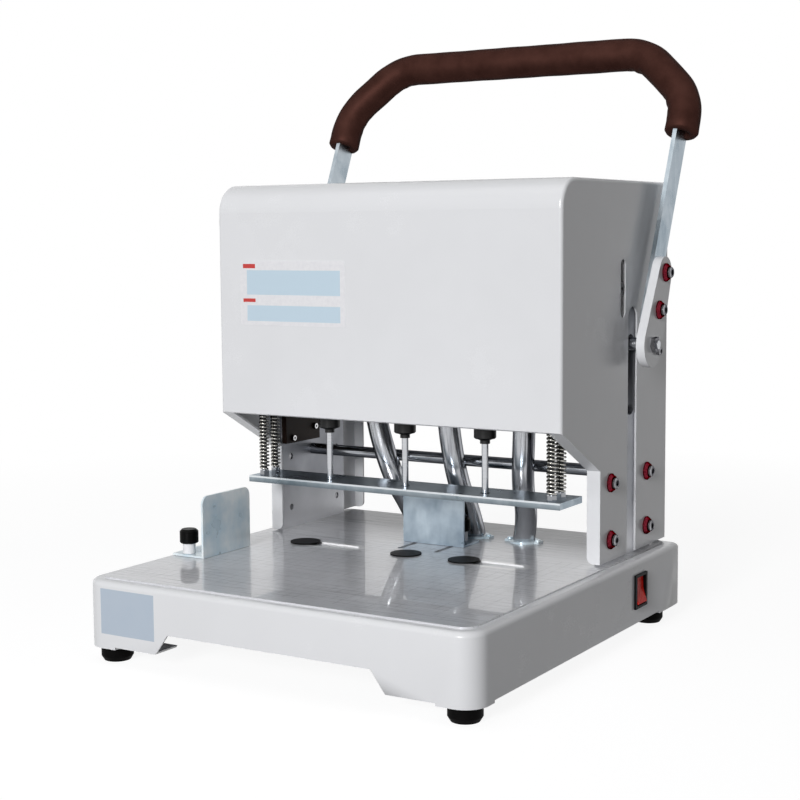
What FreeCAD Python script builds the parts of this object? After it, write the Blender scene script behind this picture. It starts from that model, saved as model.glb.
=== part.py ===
import FreeCAD, Part
import math
import os
import re

import Sketcher

# A lever paper drill: three hollow drills in one line over a table. The handle turns a shaft whose
# pinions roll down two fixed racks, so the head with its drills comes down onto the paper.
# Frame: x to the machine's right, y to its back, z up from the surface that the feet stand on.

doc = FreeCAD.newDocument("LeverPaperDrill")

DIMENSIONS = {
    # base box and table
    "base_width": 388, "base_depth": 406, "base_front": -230, "base_bottom": 16, "base_top": 73,
    "sheet": 2, "over": 2, "corner_round": 20, "top_round": 5, "base_flange": 28,
    "cut_half_low": 116, "cut_half_high": 101, "cut_top": 34,
    "foot_plate_wide": 35, "foot_plate_deep": 30, "foot_plate_thick": 2.2, "foot_plate_rear": 50,
    "foot_side": 174, "foot_front": -210, "foot_rear": 146, "foot_radius": 14, "foot_tip": 11.5,
    "foot_taper": 4,
    "table_thick": 1.5, "table_rim": 10, "table_round": 12,
    # hood and posts
    "hood_half": 178, "hood_front": -52, "hood_rear": 176, "hood_low": 201.5, "hood_top": 414,
    "hood_bend": 26, "hood_fold": 3, "post_front": 26, "post_top": 159.5, "post_gap": 1.5,
    "post_flange": 12.7, "post_corner": 6, "side_slot_wide": 20, "side_slot_top": 301,
    "back_low": 190, "back_top": 408, "back_thick": 1.5, "back_rim": 10,
    "plate_thick": 6, "plate_front": 32.5, "plate_rear": 143.5, "plate_top": 400,
    "tie_y": 87, "tie_z": 150, "tie_radius": 5.5,
    "post_screw_front": 48.5, "post_screw_rear": 130, "post_screw_low": 95, "post_screw_high": 146.4,
    "screw_radius": 3, "screw_gap": 0.2, "head_radius": 5, "head_tall": 5, "head_bevel": 0.8,
    "washer_radius": 8.5, "washer_thick": 3.5, "cup_radius": 5.6, "cup_floor": 1.5,
    "cup_lip": 1, "washer_edge": 1.2,
    "socket_radius": 2.9, "socket_deep": 2.5, "screw_short": 1,
    # rack, pinion and guide columns
    "shaft_y": 95, "shaft_z": 267, "shaft_radius": 6, "stroke": 55.6, "slot_room": 3,
    "pinion_teeth": 26, "pinion_pitch": 26, "pinion_tip": 28, "pinion_root": 23.4,
    "tooth_root_half": 1.72, "tooth_pitch_half": 1.45, "tooth_tip_half": 0.6, "pinion_wide": 12,
    "pinion_inset": 7,
    "rack_tooth_step": 6.2832, "rack_teeth": 16, "rack_back": 12, "rack_wide": 20,
    "rack_addendum": 2, "rack_dedendum": 2.5,
    "rack_tip_half": 0.72, "rack_root_half": 2.36,
    "column_x": 118, "column_y": 115, "column_radius": 8, "column_low": 182, "bridge_thick": 10,
    "bridge_half_deep": 14, "rack_steps_below": 12,
    # head
    "drill_y": -10, "drill_pitch": 83, "deck_low": 222, "deck_thick": 10, "deck_half": 160,
    "deck_front": -40, "deck_mid": 60, "deck_rear": 132, "deck_rear_half": 148,
    "ear_front": 52, "ear_rear": 68, "cheek_front": 45, "cheek_rear": 112,
    "cheek_x": 140, "cheek_thick": 8, "cheek_top": 292, "boss_radius": 14, "boss_top": 256,
    "housing_radius": 17, "housing_low": 212, "housing_top": 258, "running_gap": 0.05,
    "block_thick": 6, "block_front": 33, "block_rear": 91, "block_low": 161, "block_top": 240,
    "block_step": 196, "block_notch": 4,
    "block_gap": 0.4, "block_screw": 3.2, "block_screw_tall": 2.5, "block_screw_front": 44,
    "block_screw_low": 166, "block_screw_rear": 82, "block_screw_high": 174,
    # spindles and belts
    "spindle_radius": 7, "spindle_top": 304, "drill_radius": 3, "drill_bore": 2.2, "drill_tip": 132.2,
    "drill_in_chuck": 202, "drill_edge": 0.2, "drill_bevel": 2.2,
    "chuck_radius": 10, "chuck_low": 188, "chuck_top": 208,
    "nose_radius": 4.5, "nose_low": 182.5, "nose_tall": 3, "cone_flare": 3.5, "chuck_bevel": 1,
    "pulley_radius": 20, "pulley_rim": 22, "pulley_lip": 0.8,
    "groove_gap": 0.6,
    "belt_first": 264, "belt_step": 11, "belt_wide": 8, "belt_thick": 2.4, "belt_gap": 0.4,
    "motor_x": -41.5, "motor_y": 46, "motor_radius": 32, "motor_tall": 47.5, "motor_pulley": 14,
    "motor_shaft": 6, "motor_bevel": 4,
    # press plate
    "press_half": 164.9, "press_front": -28, "press_rear": 17, "press_low": 132, "press_thick": 6,
    "press_hole": 4.5, "rod_x": 153, "rod_half_step": 9, "rod_radius": 2.5, "nut_radius": 4.6,
    "nut_tall": 5, "rod_above": 16, "spring_radius": 3.9, "wire_radius": 0.8, "spring_turns": 23,
    # handle
    "lean": 23.66, "lever_low_radius": 20.5, "lever_high_radius": 14.5, "lever_reach": 70,
    "lever_screw_low": 33.5, "lever_inner": 190, "lever_thick": 8, "arm_wide": 25, "arm_thick": 4,
    "arm_low": 18, "arm_high": 226, "grip_half": 195, "grip_low": 209, "grip_high": 299,
    "grip_bend": 68, "grip_radius": 15, "tube_radius": 8, "stub_radius": 4, "stub_long": 5.5,
    "shaft_nut_radius": 7.5, "shaft_nut_tall": 4, "keeper_back": 11.3, "keeper_down": 2.1,
    "keeper_radius": 3.5, "keeper_tall": 4, "keeper_shank": 2, "keeper_socket": 1.8,
    # chip hoses
    "hose_radius": 10.5, "hose_bore": 9, "hose_y": 67, "hose_foot_y": 95, "pipe_radius": 9,
    "pipe_wall": 1.5, "flange_thick": 2, "flange_rim": 4, "tab_half_long": 18, "tab_half_wide": 5,
    "tab_screw": 2.6, "tab_screw_tall": 1.6, "tab_screw_step": 14.8, "foot_left_x": -46,
    "foot_centre_x": 15, "foot_right_x": 68, "hose_straight": 27, "hose_drop": 89, "hose_step_back": 2,
    "hose_low_up": 24, "hose_low_front": 7, "hose_sway_high": 0.44, "hose_sway_low": 0.69,
    "hose_lean": 3, "pipe_gap": 1, "hose_tail": 5,
    # pads, guides and knobs
    "pad_radius": 14.5, "pad_thick": 1.2, "pad_slot_half": 8.5, "pad_travel": 51.5, "pad_centre": 86.75,
    "slide_gap": 0.3, "guide_x": -148, "guide_front": -121, "guide_long": 70.5, "guide_tall": 57,
    "guide_foot": 36, "guide_knob_x": -170, "guide_knob_y": -114, "guide_travel": 13,
    "gauge_y": 40, "gauge_half": 33,
    "gauge_foot": 30, "gauge_knob_x": 19.5, "gauge_knob_y": 60, "plate_round": 8, "guide_sheet": 2,
    "knob_radius": 8.6, "knob_tall": 13, "stem_radius": 5.8, "stem_tall": 9.5, "stud_radius": 2.2,
    "stud_low": 63, "stud_slot_half": 2.6, "gauge_slot_front": 12, "gauge_slot_rear": 74,
    "knob_bevel": 1, "knob_crown": 2,
    # switch, inlet, depth stop and chip drawer
    "switch_y": 78.5, "switch_z": 45.2, "bezel_wide": 26, "bezel_tall": 31, "bezel_thick": 2,
    "bezel_rim": 2, "bezel_wall": 1, "switch_deep": 24, "mouth_deep": 14, "rocker_gap": 0.4,
    "rocker_half": 12, "rocker_nose": 3, "rocker_dip": 1.4, "rocker_back": 6, "rocker_back_half": 8,
    "rocker_inset": 2, "rocker_tilt": 10, "rocker_pin": 1.5, "pin_short": 0.2,
    "stop_y": 73, "stop_low": 292, "stop_high": 344, "stop_z": 318, "stop_slot_half": 5.5,
    "stop_half_tall": 5.6, "stop_sunk": 1, "stop_socket": 1.8, "stop_block": 14, "stop_block_tall": 12,
    "inlet_x": 140, "inlet_z": 46, "inlet_half": 14, "inlet_half_tall": 10, "inlet_deep": 26,
    "inlet_flange": 24, "inlet_flange_tall": 13, "inlet_wall": 2, "inlet_mouth": 15, "pin_half": 1,
    "pin_half_tall": 2, "pin_step": 7, "pin_lift": 2, "pin_end": 3,
    "drawer_left": -60, "drawer_right": 110, "drawer_front": 40,
    "drawer_low": 24, "drawer_top": 58, "drawer_gap": 0.5, "drawer_rim": 6, "drawer_front_thick": 2.5,
    "drawer_front_rim": 3, "pull_radius": 14,
}

sheet = doc.addObject("Spreadsheet::Sheet", "Sizes")
for row, (alias, number) in enumerate(DIMENSIONS.items(), start=1):
    sheet.set(f"A{row}", alias)
    sheet.set(f"B{row}", str(number))
    sheet.setAlias(f"B{row}", alias)
doc.recompute()

SIDES = {"left": -1, "right": 1}
PLACES = {"left": -1, "centre": 0, "right": 1}
AXIS_TURN = {
    "x": FreeCAD.Rotation(FreeCAD.Vector(0, 1, 0), 90),
    "y": FreeCAD.Rotation(FreeCAD.Vector(1, 0, 0), -90),
    "z": FreeCAD.Rotation(),
}
# The farthest apart, in mm, that two places can be and still count as one.
TOUCH = 0.001
nodes = []


# Expressions

def value(text):
    return float(sheet.evalExpression(str(text)))


def bind(thing, field, text):
    words = re.sub(r"[a-z_]{3,}", lambda found: name_in_sheet(found[0]), str(text))
    thing.setExpression(field, words)


def name_in_sheet(word):
    return "Sizes." + word if word in DIMENSIONS else word


def put(thing, x, y, z):
    for axis, text in zip("xyz", (x, y, z)):
        bind(thing, f"Placement.Base.{axis}", text)


def node(thing, label):
    thing.Label = label
    nodes.append(thing)
    return thing


# Primitives and booleans

def box(x_span, y_span, z_span):
    block = doc.addObject("Part::Box", "Block")
    for field, (low, high) in zip(("Length", "Width", "Height"), (x_span, y_span, z_span)):
        bind(block, field, f"({high}) - ({low})")
    put(block, x_span[0], y_span[0], z_span[0])
    return block


def rod(axis, start, radius, length):
    round_bar = doc.addObject("Part::Cylinder", "Rod")
    bind(round_bar, "Radius", radius)
    bind(round_bar, "Height", length)
    round_bar.Placement.Rotation = AXIS_TURN[axis]
    put(round_bar, *start)
    return round_bar


def hexagon(axis, start, radius, length):
    prism = doc.addObject("Part::Prism", "Hexagon")
    prism.Polygon = 6
    bind(prism, "Circumradius", radius)
    bind(prism, "Height", length)
    prism.Placement.Rotation = AXIS_TURN[axis]
    put(prism, *start)
    return prism


def joined(pieces):
    whole = doc.addObject("Part::MultiFuse", "Joined")
    whole.Shapes = pieces
    return whole


def grouped(pieces):
    group = doc.addObject("Part::Compound", "Group")
    group.Links = pieces
    return group


def without(base, tools):
    cut = doc.addObject("Part::Cut", "Cut")
    cut.Base = base
    cut.Tool = tools[0] if len(tools) == 1 else joined(tools)
    return cut


# Sketches and bodies

def new_body():
    return doc.addObject("PartDesign::Body", "Body")


def sketch_on(body, role, offset=0):
    sketch = body.newObject("Sketcher::SketchObject", "Sketch")
    plane = [item for item in body.Origin.OriginFeatures if item.Role == role][0]
    sketch.AttachmentSupport = [(plane, "")]
    sketch.MapMode = "FlatFace"
    bind(sketch, "AttachmentOffset.Base.z", offset)
    return sketch


def vector(u, v):
    return FreeCAD.Vector(value(u), value(v), 0)


def pin_point(sketch, piece, end, u, v):
    for kind, axis, text in (("DistanceX", -2, u), ("DistanceY", -1, v)):
        if abs(value(text)) < TOUCH:
            sketch.addConstraint(Sketcher.Constraint("PointOnObject", piece, end, axis))
        else:
            index = sketch.addConstraint(Sketcher.Constraint(kind, -1, 1, piece, end, value(text)))
            bind(sketch, f"Constraints[{index}]", text)


def polygon(sketch, corners):
    first = sketch.GeometryCount
    count = len(corners)
    for index, corner in enumerate(corners):
        following = corners[(index + 1) % count]
        sketch.addGeometry(Part.LineSegment(vector(*corner), vector(*following)))
    for index, corner in enumerate(corners):
        after = first + (index + 1) % count
        sketch.addConstraint(Sketcher.Constraint("Coincident", first + index, 2, after, 1))
        pin_point(sketch, first + index, 1, *corner)


def rectangle(sketch, u_span, v_span):
    corners = [(u_span[0], v_span[0]), (u_span[1], v_span[0])]
    corners += [(u_span[1], v_span[1]), (u_span[0], v_span[1])]
    polygon(sketch, corners)


def ring(sketch, u, v, radius):
    circle = Part.Circle(vector(u, v), FreeCAD.Vector(0, 0, 1), value(radius))
    piece = sketch.addGeometry(circle)
    index = sketch.addConstraint(Sketcher.Constraint("Radius", piece, value(radius)))
    bind(sketch, f"Constraints[{index}]", radius)
    pin_point(sketch, piece, 3, u, v)


# Two round ends joined by their outer tangents: a slot, a belt or a lever plate.
def link_outline(sketch, first_end, first_radius, second_end, second_radius):
    near, far = vector(*first_end), vector(*second_end)
    near_radius, far_radius = value(first_radius), value(second_radius)
    along = math.atan2(far.y - near.y, far.x - near.x)
    opening = math.acos((near_radius - far_radius) / (far - near).Length)
    up = FreeCAD.Vector(0, 0, 1)
    near_circle = Part.Circle(near, up, near_radius)
    far_circle = Part.Circle(far, up, far_radius)
    turn = 2 * math.pi
    near_arc = Part.ArcOfCircle(near_circle, along + opening, along - opening + turn)
    far_arc = Part.ArcOfCircle(far_circle, along - opening, along + opening)
    first = sketch.GeometryCount
    sketch.addGeometry(near_arc)
    sketch.addGeometry(Part.LineSegment(near_arc.EndPoint, far_arc.StartPoint))
    sketch.addGeometry(far_arc)
    sketch.addGeometry(Part.LineSegment(far_arc.EndPoint, near_arc.StartPoint))
    for index in range(4):
        after = first + (index + 1) % 4
        sketch.addConstraint(Sketcher.Constraint("Tangent", first + index, 2, after, 1))
    for piece, place, radius in ((first, first_end, first_radius), (first + 2, second_end, second_radius)):
        index = sketch.addConstraint(Sketcher.Constraint("Radius", piece, value(radius)))
        bind(sketch, f"Constraints[{index}]", radius)
        pin_point(sketch, piece, 3, *place)


def pad(body, sketch, length):
    solid = body.newObject("PartDesign::Pad", "Pad")
    solid.Profile = sketch
    bind(solid, "Length", length)
    body.Tip = solid
    return solid


def slot_tool(role, offset, length, first_end, second_end, radius):
    body = new_body()
    sketch = sketch_on(body, role, offset)
    link_outline(sketch, first_end, radius, second_end, radius)
    pad(body, sketch, length)
    return body


def round_edges(body, radius, wanted):
    doc.recompute()
    base = body.Tip
    names = [f"Edge{i}" for i, edge in enumerate(base.Shape.Edges, start=1) if wanted(edge)]
    fillet = body.newObject("PartDesign::Fillet", "Round")
    fillet.Base = (base, names)
    bind(fillet, "Radius", radius)
    body.Tip = fillet
    return fillet


def is_upright(edge):
    return abs(edge.BoundBox.ZLength - edge.Length) < TOUCH


def rounded_block(half_wide, y_span, z_span, radius):
    body = new_body()
    sketch = sketch_on(body, "XY_Plane", z_span[0])
    rectangle(sketch, (f"-({half_wide})", half_wide), y_span)
    pad(body, sketch, f"({z_span[1]}) - ({z_span[0]})")
    round_edges(body, radius, is_upright)
    return body


# A lathe-turned piece: corners are (radius, height) pairs about the upright axis.
def turned(corners):
    body = new_body()
    sketch = sketch_on(body, "XZ_Plane")
    polygon(sketch, corners)
    solid = body.newObject("PartDesign::Revolution", "Revolution")
    solid.Profile = sketch
    solid.ReferenceAxis = (sketch, ["V_Axis"])
    solid.Angle = 360
    body.Tip = solid
    return body


def side_sheet(x_low, thick, corners):
    body = new_body()
    sketch = sketch_on(body, "YZ_Plane", x_low)
    polygon(sketch, corners)
    pad(body, sketch, thick)
    return body


base_rear = "base_front + base_depth"
base_half = "base_width / 2"
table_top = "base_top + table_thick"
slide_low = f"{table_top} + slide_gap"
plate_inner = "hood_half - sheet - plate_thick"
block_face = f"{plate_inner} - block_thick"
deck_top = "deck_low + deck_thick"
press_top = "press_low + press_thick"
lever_outer = "lever_inner + lever_thick"
drill_x = {place: f"{sign} * drill_pitch" for place, sign in PLACES.items()}
hose_foot_x = {place: f"foot_{place}_x" for place in PLACES}


def across(half):
    return f"-({half})", half


def around(middle, half):
    return f"{middle} - ({half})", f"{middle} + ({half})"


def to_side(sign, near, far):
    return (near, far) if sign > 0 else (f"-({far})", f"-({near})")


# Screws with a hexagon socket, their cup washers, and the side of the machine that they face

def cap_screw(shank_radius, shank, head_radius, head_tall, seat, socket_radius):
    top = f"{seat} + {head_tall}"
    screw = turned([
        (0, f"-({shank})"), (shank_radius, f"-({shank})"), (shank_radius, seat), (head_radius, seat),
        (head_radius, f"{top} - head_bevel"), (f"{head_radius} - head_bevel", top), (0, top),
    ])
    socket = hexagon("z", (0, 0, f"{top} - socket_deep"), socket_radius, "socket_deep + over")
    return without(screw, [socket])


def cup_washer():
    hole = "screw_radius + screw_gap"
    return turned([
        (hole, 0), ("washer_radius", 0), ("washer_radius", "washer_edge"),
        ("cup_radius + cup_lip", "washer_thick"), ("cup_radius", "washer_thick"),
        ("cup_radius", "cup_floor"), (hole, "cup_floor"),
    ])


def face_out(thing, sign, x, y, z):
    thing.Placement.Rotation = FreeCAD.Rotation(FreeCAD.Vector(0, 1, 0), 90 * sign)
    put(thing, f"{sign} * ({x})", y, z)
    return thing


def screws_and_washers(x, places, shank):
    screws, washers = [], []
    for sign in SIDES.values():
        for y, z in places:
            screw = cap_screw("screw_radius", shank, "head_radius", "head_tall", "cup_floor", "socket_radius")
            screws.append(face_out(screw, sign, x, y, z))
            washers.append(face_out(cup_washer(), sign, x, y, z))
    return grouped(screws), grouped(washers)


# Base and table

def hose_openings(low, high):
    openings = []
    for foot in hose_foot_x.values():
        openings.append(rod("z", (foot, "hose_foot_y", low), "hose_bore", f"{high} - ({low})"))
    return openings


def stud_slots(low, tall):
    slots = []
    for sign in SIDES.values():
        x = f"{sign} * gauge_knob_x"
        ends = (x, "gauge_slot_front"), (x, "gauge_slot_rear")
        slots.append(slot_tool("XY_Plane", low, tall, *ends, "stud_slot_half"))
    ends = [(x, "guide_knob_y") for x in around("guide_knob_x", "guide_travel")]
    slots.append(slot_tool("XY_Plane", low, tall, *ends, "stud_slot_half"))
    return slots


def base_openings():
    low, high = "base_bottom - over", "cut_top"
    front_cut = new_body()
    sketch = sketch_on(front_cut, "XZ_Plane", "over - base_front")
    corners = [("-cut_half_low", low), ("cut_half_low", low)]
    corners += [("cut_half_high", high), ("-cut_half_high", high)]
    polygon(sketch, corners)
    pad(front_cut, sketch, "base_flange + 2 * over").Reversed = True
    wall = around(base_half, "2 * sheet")
    rear_wall = around(base_rear, "2 * sheet")
    switch_y = around("switch_y", "bezel_wide / 2 - bezel_rim")
    switch_hole = box(wall, switch_y, around("switch_z", "bezel_tall / 2 - bezel_rim"))
    inlet_hole = box(around("inlet_x", "inlet_half"), rear_wall, around("inlet_z", "inlet_half_tall"))
    drawer_span = ("drawer_left - drawer_gap", "drawer_right + drawer_gap")
    drawer_hole = box(drawer_span, rear_wall, ("drawer_low - drawer_gap", "drawer_top + drawer_gap"))
    top_holes = hose_openings("base_top - 2 * sheet", "base_top + over")
    top_holes += stud_slots("base_top - 2 * sheet", "2 * sheet + over")
    return [front_cut, switch_hole, inlet_hole, drawer_hole] + top_holes


def make_base_cover():
    y_span = ("base_front", base_rear)
    outer = rounded_block(base_half, y_span, ("base_bottom", "base_top"), "corner_round")
    round_edges(outer, "top_round", lambda edge: edge.BoundBox.ZMin > value("base_top") - TOUCH)
    inner_span = ("base_front + sheet", f"{base_rear} - sheet")
    inner_heights = ("base_bottom + sheet", "base_top - sheet")
    inner = rounded_block(f"{base_half} - sheet", inner_span, inner_heights, "corner_round - sheet")
    open_y = ("base_front + base_flange", f"{base_rear} - base_flange")
    open_z = ("base_bottom - over", "base_bottom + 2 * sheet")
    opening = box(across(f"{base_half} - base_flange"), open_y, open_z)
    cover = without(outer, [inner, opening] + base_openings())
    plate_heights = ("base_bottom - foot_plate_thick", "base_bottom")
    outline = rounded_block(base_half, y_span, plate_heights, "corner_round")
    corners = []
    for sign in SIDES.values():
        x_span = to_side(sign, f"{base_half} - foot_plate_wide", base_half)
        corners.append(box(x_span, ("base_front", "base_front + foot_plate_deep"), plate_heights))
        corners.append(box(x_span, (f"{base_rear} - foot_plate_rear", base_rear), plate_heights))
    foot_plates = doc.addObject("Part::MultiCommon", "FootPlates")
    foot_plates.Shapes = [outline, joined(corners)]
    node(joined([cover, foot_plates]), "base_cover")


def make_table_plate():
    y_span = ("base_front + table_rim", f"{base_rear} - table_rim")
    plate = rounded_block(f"{base_half} - table_rim", y_span, ("base_top", table_top), "table_round")
    low = "base_top - over"
    tall = "table_thick + 2 * over"
    tools = hose_openings(low, f"{table_top} + over") + stud_slots(low, tall)
    for sign in SIDES.values():
        ends = [(x, "drill_y") for x in around(f"{sign} * pad_centre", "pad_travel / 2")]
        tools.append(slot_tool("XY_Plane", low, tall, *ends, "pad_slot_half"))
    node(without(plate, tools), "table_plate")


def make_rubber_feet():
    feet = []
    top = "base_bottom - foot_plate_thick"
    for x in across("foot_side"):
        for y in ("foot_front", "foot_rear"):
            side = [("foot_tip", 0), ("foot_radius", "foot_taper"), ("foot_radius", top)]
            foot = turned([(0, 0)] + side + [(0, top)])
            put(foot, x, y, 0)
            feet.append(foot)
    node(grouped(feet), "rubber_feet")


# Hood, posts and the frame inside

def hood_outline(inset):
    front, rear = f"hood_front + {inset}", f"hood_rear - {inset}"
    low = f"{table_top} + post_gap - {inset}"
    slope = "(hood_low - post_top) / (post_front - hood_front)"
    lift = f"{inset} * sqrt(1 + {slope} * {slope}) - {slope} * {inset}"
    post = f"post_front + {inset}"
    return [
        (front, f"hood_low + {lift}"), (front, f"hood_top - {inset}"), (rear, f"hood_top - {inset}"),
        (rear, low), (post, low), (post, f"post_top + {lift}"),
    ]


def hood_solid(inset):
    half = f"hood_half - {inset}"
    body = side_sheet(f"-({half})", f"2 * ({half})", hood_outline(inset))
    front, top = value(f"hood_front + {inset}"), value(f"hood_top - {inset}")

    def is_bend(edge):
        size = edge.BoundBox
        return abs(size.YMax - front) + abs(size.ZMin - top) < TOUCH

    round_edges(body, f"hood_bend - {inset}", is_bend)
    return body


# Rounds the inner lower corner of a post's flange.
def flange_corner_tool(sign, y_span):
    inner, low = "hood_half - post_flange", f"{table_top} + post_gap"
    x_span = to_side(sign, f"{inner} - over", f"{inner} + post_corner")
    block = box(x_span, y_span, (f"{low} - over", f"{low} + post_corner"))
    start = (f"{sign} * ({inner} + post_corner)", y_span[0], f"{low} + post_corner")
    return without(block, [rod("y", start, "post_corner", f"{y_span[1]} - ({y_span[0]})")])


def stop_slot(x_low, length):
    ends = ("stop_y", "stop_low + stop_slot_half"), ("stop_y", "stop_high - stop_slot_half")
    return slot_tool("YZ_Plane", x_low, length, *ends, "stop_slot_half")


POST_SCREWS = [
    (y, z)
    for y in ("post_screw_front", "post_screw_rear")
    for z in ("post_screw_low", "post_screw_high")
]


def post_screw_holes():
    start, length = "-hood_half - over", "2 * (hood_half + over)"
    return [rod("x", (start, y, z), "screw_radius + screw_gap", length) for y, z in POST_SCREWS]


def make_hood_cover():
    outer = hood_solid("0")
    front = value("hood_front")
    round_edges(outer, "hood_fold", lambda edge: is_upright(edge) and abs(edge.BoundBox.YMax - front) < TOUCH)
    inner_x = across("hood_half - post_flange")
    rear_y = around("hood_rear", "2 * sheet")
    front_y = around("post_front", "2 * sheet")
    under_y = ("hood_front + sheet", "post_front + 2 * sheet")
    tools = [hood_solid("sheet"), box(inner_x, under_y, ("base_top", "hood_low + 2 * sheet"))]
    tools.append(box(inner_x, rear_y, ("base_top", "back_top - back_rim")))
    for sign in SIDES.values():
        tools.append(flange_corner_tool(sign, front_y))
        tools.append(flange_corner_tool(sign, rear_y))
    ends = ("shaft_y", "base_bottom"), ("shaft_y", "side_slot_top - side_slot_wide / 2")
    length = "2 * (hood_half + over)"
    tools.append(slot_tool("YZ_Plane", "-hood_half - over", length, *ends, "side_slot_wide / 2"))
    tools.append(stop_slot("hood_half - 2 * sheet", "2 * sheet + over"))
    node(without(outer, tools + post_screw_holes()), "hood_cover")
    panel_y = ("hood_rear", "hood_rear + back_thick")
    node(box(across("hood_half - back_thick"), panel_y, ("back_low", "back_top")), "hood_back")


def make_side_plate(side):
    x_low = to_side(SIDES[side], plate_inner, "hood_half - sheet")[0]
    corners = [("plate_front", table_top), ("plate_rear", table_top)]
    corners += [("plate_rear", "plate_top"), ("plate_front", "plate_top")]
    plate = side_sheet(x_low, "plate_thick", corners)
    ends = ("shaft_y", "shaft_z - stroke"), ("shaft_y", "shaft_z")
    tool_span = f"{x_low} - over", "plate_thick + 2 * over"
    tools = [slot_tool("YZ_Plane", *tool_span, *ends, "shaft_radius + slot_room")]
    if side == "right":
        tools.append(stop_slot(*tool_span))
    node(without(plate, tools + post_screw_holes()), f"side_plate_{side}")


def make_tie_rod():
    start = (f"-({plate_inner})", "tie_y", "tie_z")
    node(rod("x", start, "tie_radius", f"2 * ({plate_inner})"), "tie_rod")


def make_post_fasteners():
    screws, washers = screws_and_washers("hood_half", POST_SCREWS, "sheet + plate_thick - screw_short")
    node(screws, "post_screws")
    node(washers, "post_washers")


# Wear blocks beside the posts, between which the head's ears run. Each is cut back where the shaft passes.
def make_slide_blocks():
    pieces = []
    notch_rear = "block_rear - block_notch"
    corners = [("block_front", "block_low"), ("block_rear", "block_low"), ("block_rear", "block_step")]
    corners += [(notch_rear, "block_step"), (notch_rear, "block_top"), ("block_front", "block_top")]
    for sign in SIDES.values():
        x_low = to_side(sign, block_face, plate_inner)[0]
        pieces.append(side_sheet(x_low, "block_thick", corners))
        for y, z in (("block_screw_front", "block_screw_low"), ("block_screw_rear", "block_screw_high")):
            start = to_side(sign, f"{block_face} - block_screw_tall", block_face)[0]
            pieces.append(rod("x", (start, y, z), "block_screw", "block_screw_tall"))
    node(grouped(pieces), "slide_blocks")


def make_columns():
    for side, sign in SIDES.items():
        start = (f"{sign} * column_x", "column_y", "column_low")
        column = rod("z", start, "column_radius", "plate_top - bridge_thick - column_low")
        node(column, f"guide_column_{side}")
    bridge_z = ("plate_top - bridge_thick", "plate_top")
    node(box(across(plate_inner), around("column_y", "bridge_half_deep"), bridge_z), "column_bridge")


# Racks and the pinions that roll down them. One rack tooth is level with the shaft at rest.

def make_rack(side):
    x_low = to_side(SIDES[side], f"{plate_inner} - rack_wide", plate_inner)[0]
    pitch_y = "shaft_y + pinion_pitch"
    root, tip = f"{pitch_y} + rack_dedendum", f"{pitch_y} - rack_addendum"
    first = "shaft_z - rack_steps_below * rack_tooth_step"
    low = f"{first} - rack_tooth_step / 2"
    high = f"{low} + rack_teeth * rack_tooth_step"
    back = f"{root} + rack_back"
    body = side_sheet(x_low, "rack_wide", [(root, low), (back, low), (back, high), (root, high)])
    sketch = sketch_on(body, "YZ_Plane", x_low)
    flank = [(root, f"{first} - rack_root_half"), (tip, f"{first} - rack_tip_half")]
    flank += [(tip, f"{first} + rack_tip_half"), (root, f"{first} + rack_root_half")]
    polygon(sketch, flank)
    tooth = pad(body, sketch, "rack_wide")
    row = body.newObject("PartDesign::LinearPattern", "Row")
    row.Originals = [tooth]
    row.Direction = (sketch, ["V_Axis"])
    bind(row, "Length", "(rack_teeth - 1) * rack_tooth_step")
    bind(row, "Occurrences", "rack_teeth")
    body.Tip = row
    node(body, f"rack_{side}")


# A tooth stands straight up, so that a quarter turn on, a gap faces the rack.
def pinion(sign):
    far = f"{plate_inner} - pinion_inset"
    x_low = to_side(sign, f"{far} - pinion_wide", far)[0]
    body = new_body()
    sketch = sketch_on(body, "YZ_Plane", x_low)
    ring(sketch, 0, 0, "pinion_root")
    pad(body, sketch, "pinion_wide")
    sketch = sketch_on(body, "YZ_Plane", x_low)
    flank = [("tooth_root_half", height) for height in around("pinion_root", "tooth_tip_half")]
    flank += [("tooth_pitch_half", "pinion_pitch"), ("tooth_tip_half", "pinion_tip")]
    other_flank = [(f"-{half}", up) for half, up in reversed(flank)]
    polygon(sketch, flank + other_flank)
    tooth = pad(body, sketch, "pinion_wide")
    wheel = body.newObject("PartDesign::PolarPattern", "Teeth")
    wheel.Originals = [tooth]
    wheel.Axis = (sketch, ["N_Axis"])
    wheel.Angle = 360
    bind(wheel, "Occurrences", "pinion_teeth")
    body.Tip = wheel
    put(body, 0, "shaft_y", "shaft_z")
    return body


def make_pinion_shaft():
    half = f"{lever_outer}"
    shaft = rod("x", (f"-({half})", "shaft_y", "shaft_z"), "shaft_radius", f"2 * ({half})")
    stub_half = f"{half} + stub_long"
    stubs = rod("x", (f"-({stub_half})", "shaft_y", "shaft_z"), "stub_radius", f"2 * ({stub_half})")
    node(joined([shaft, stubs] + [pinion(sign) for sign in SIDES.values()]), "pinion_shaft")


# Head with its bearings, drive and drills

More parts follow.
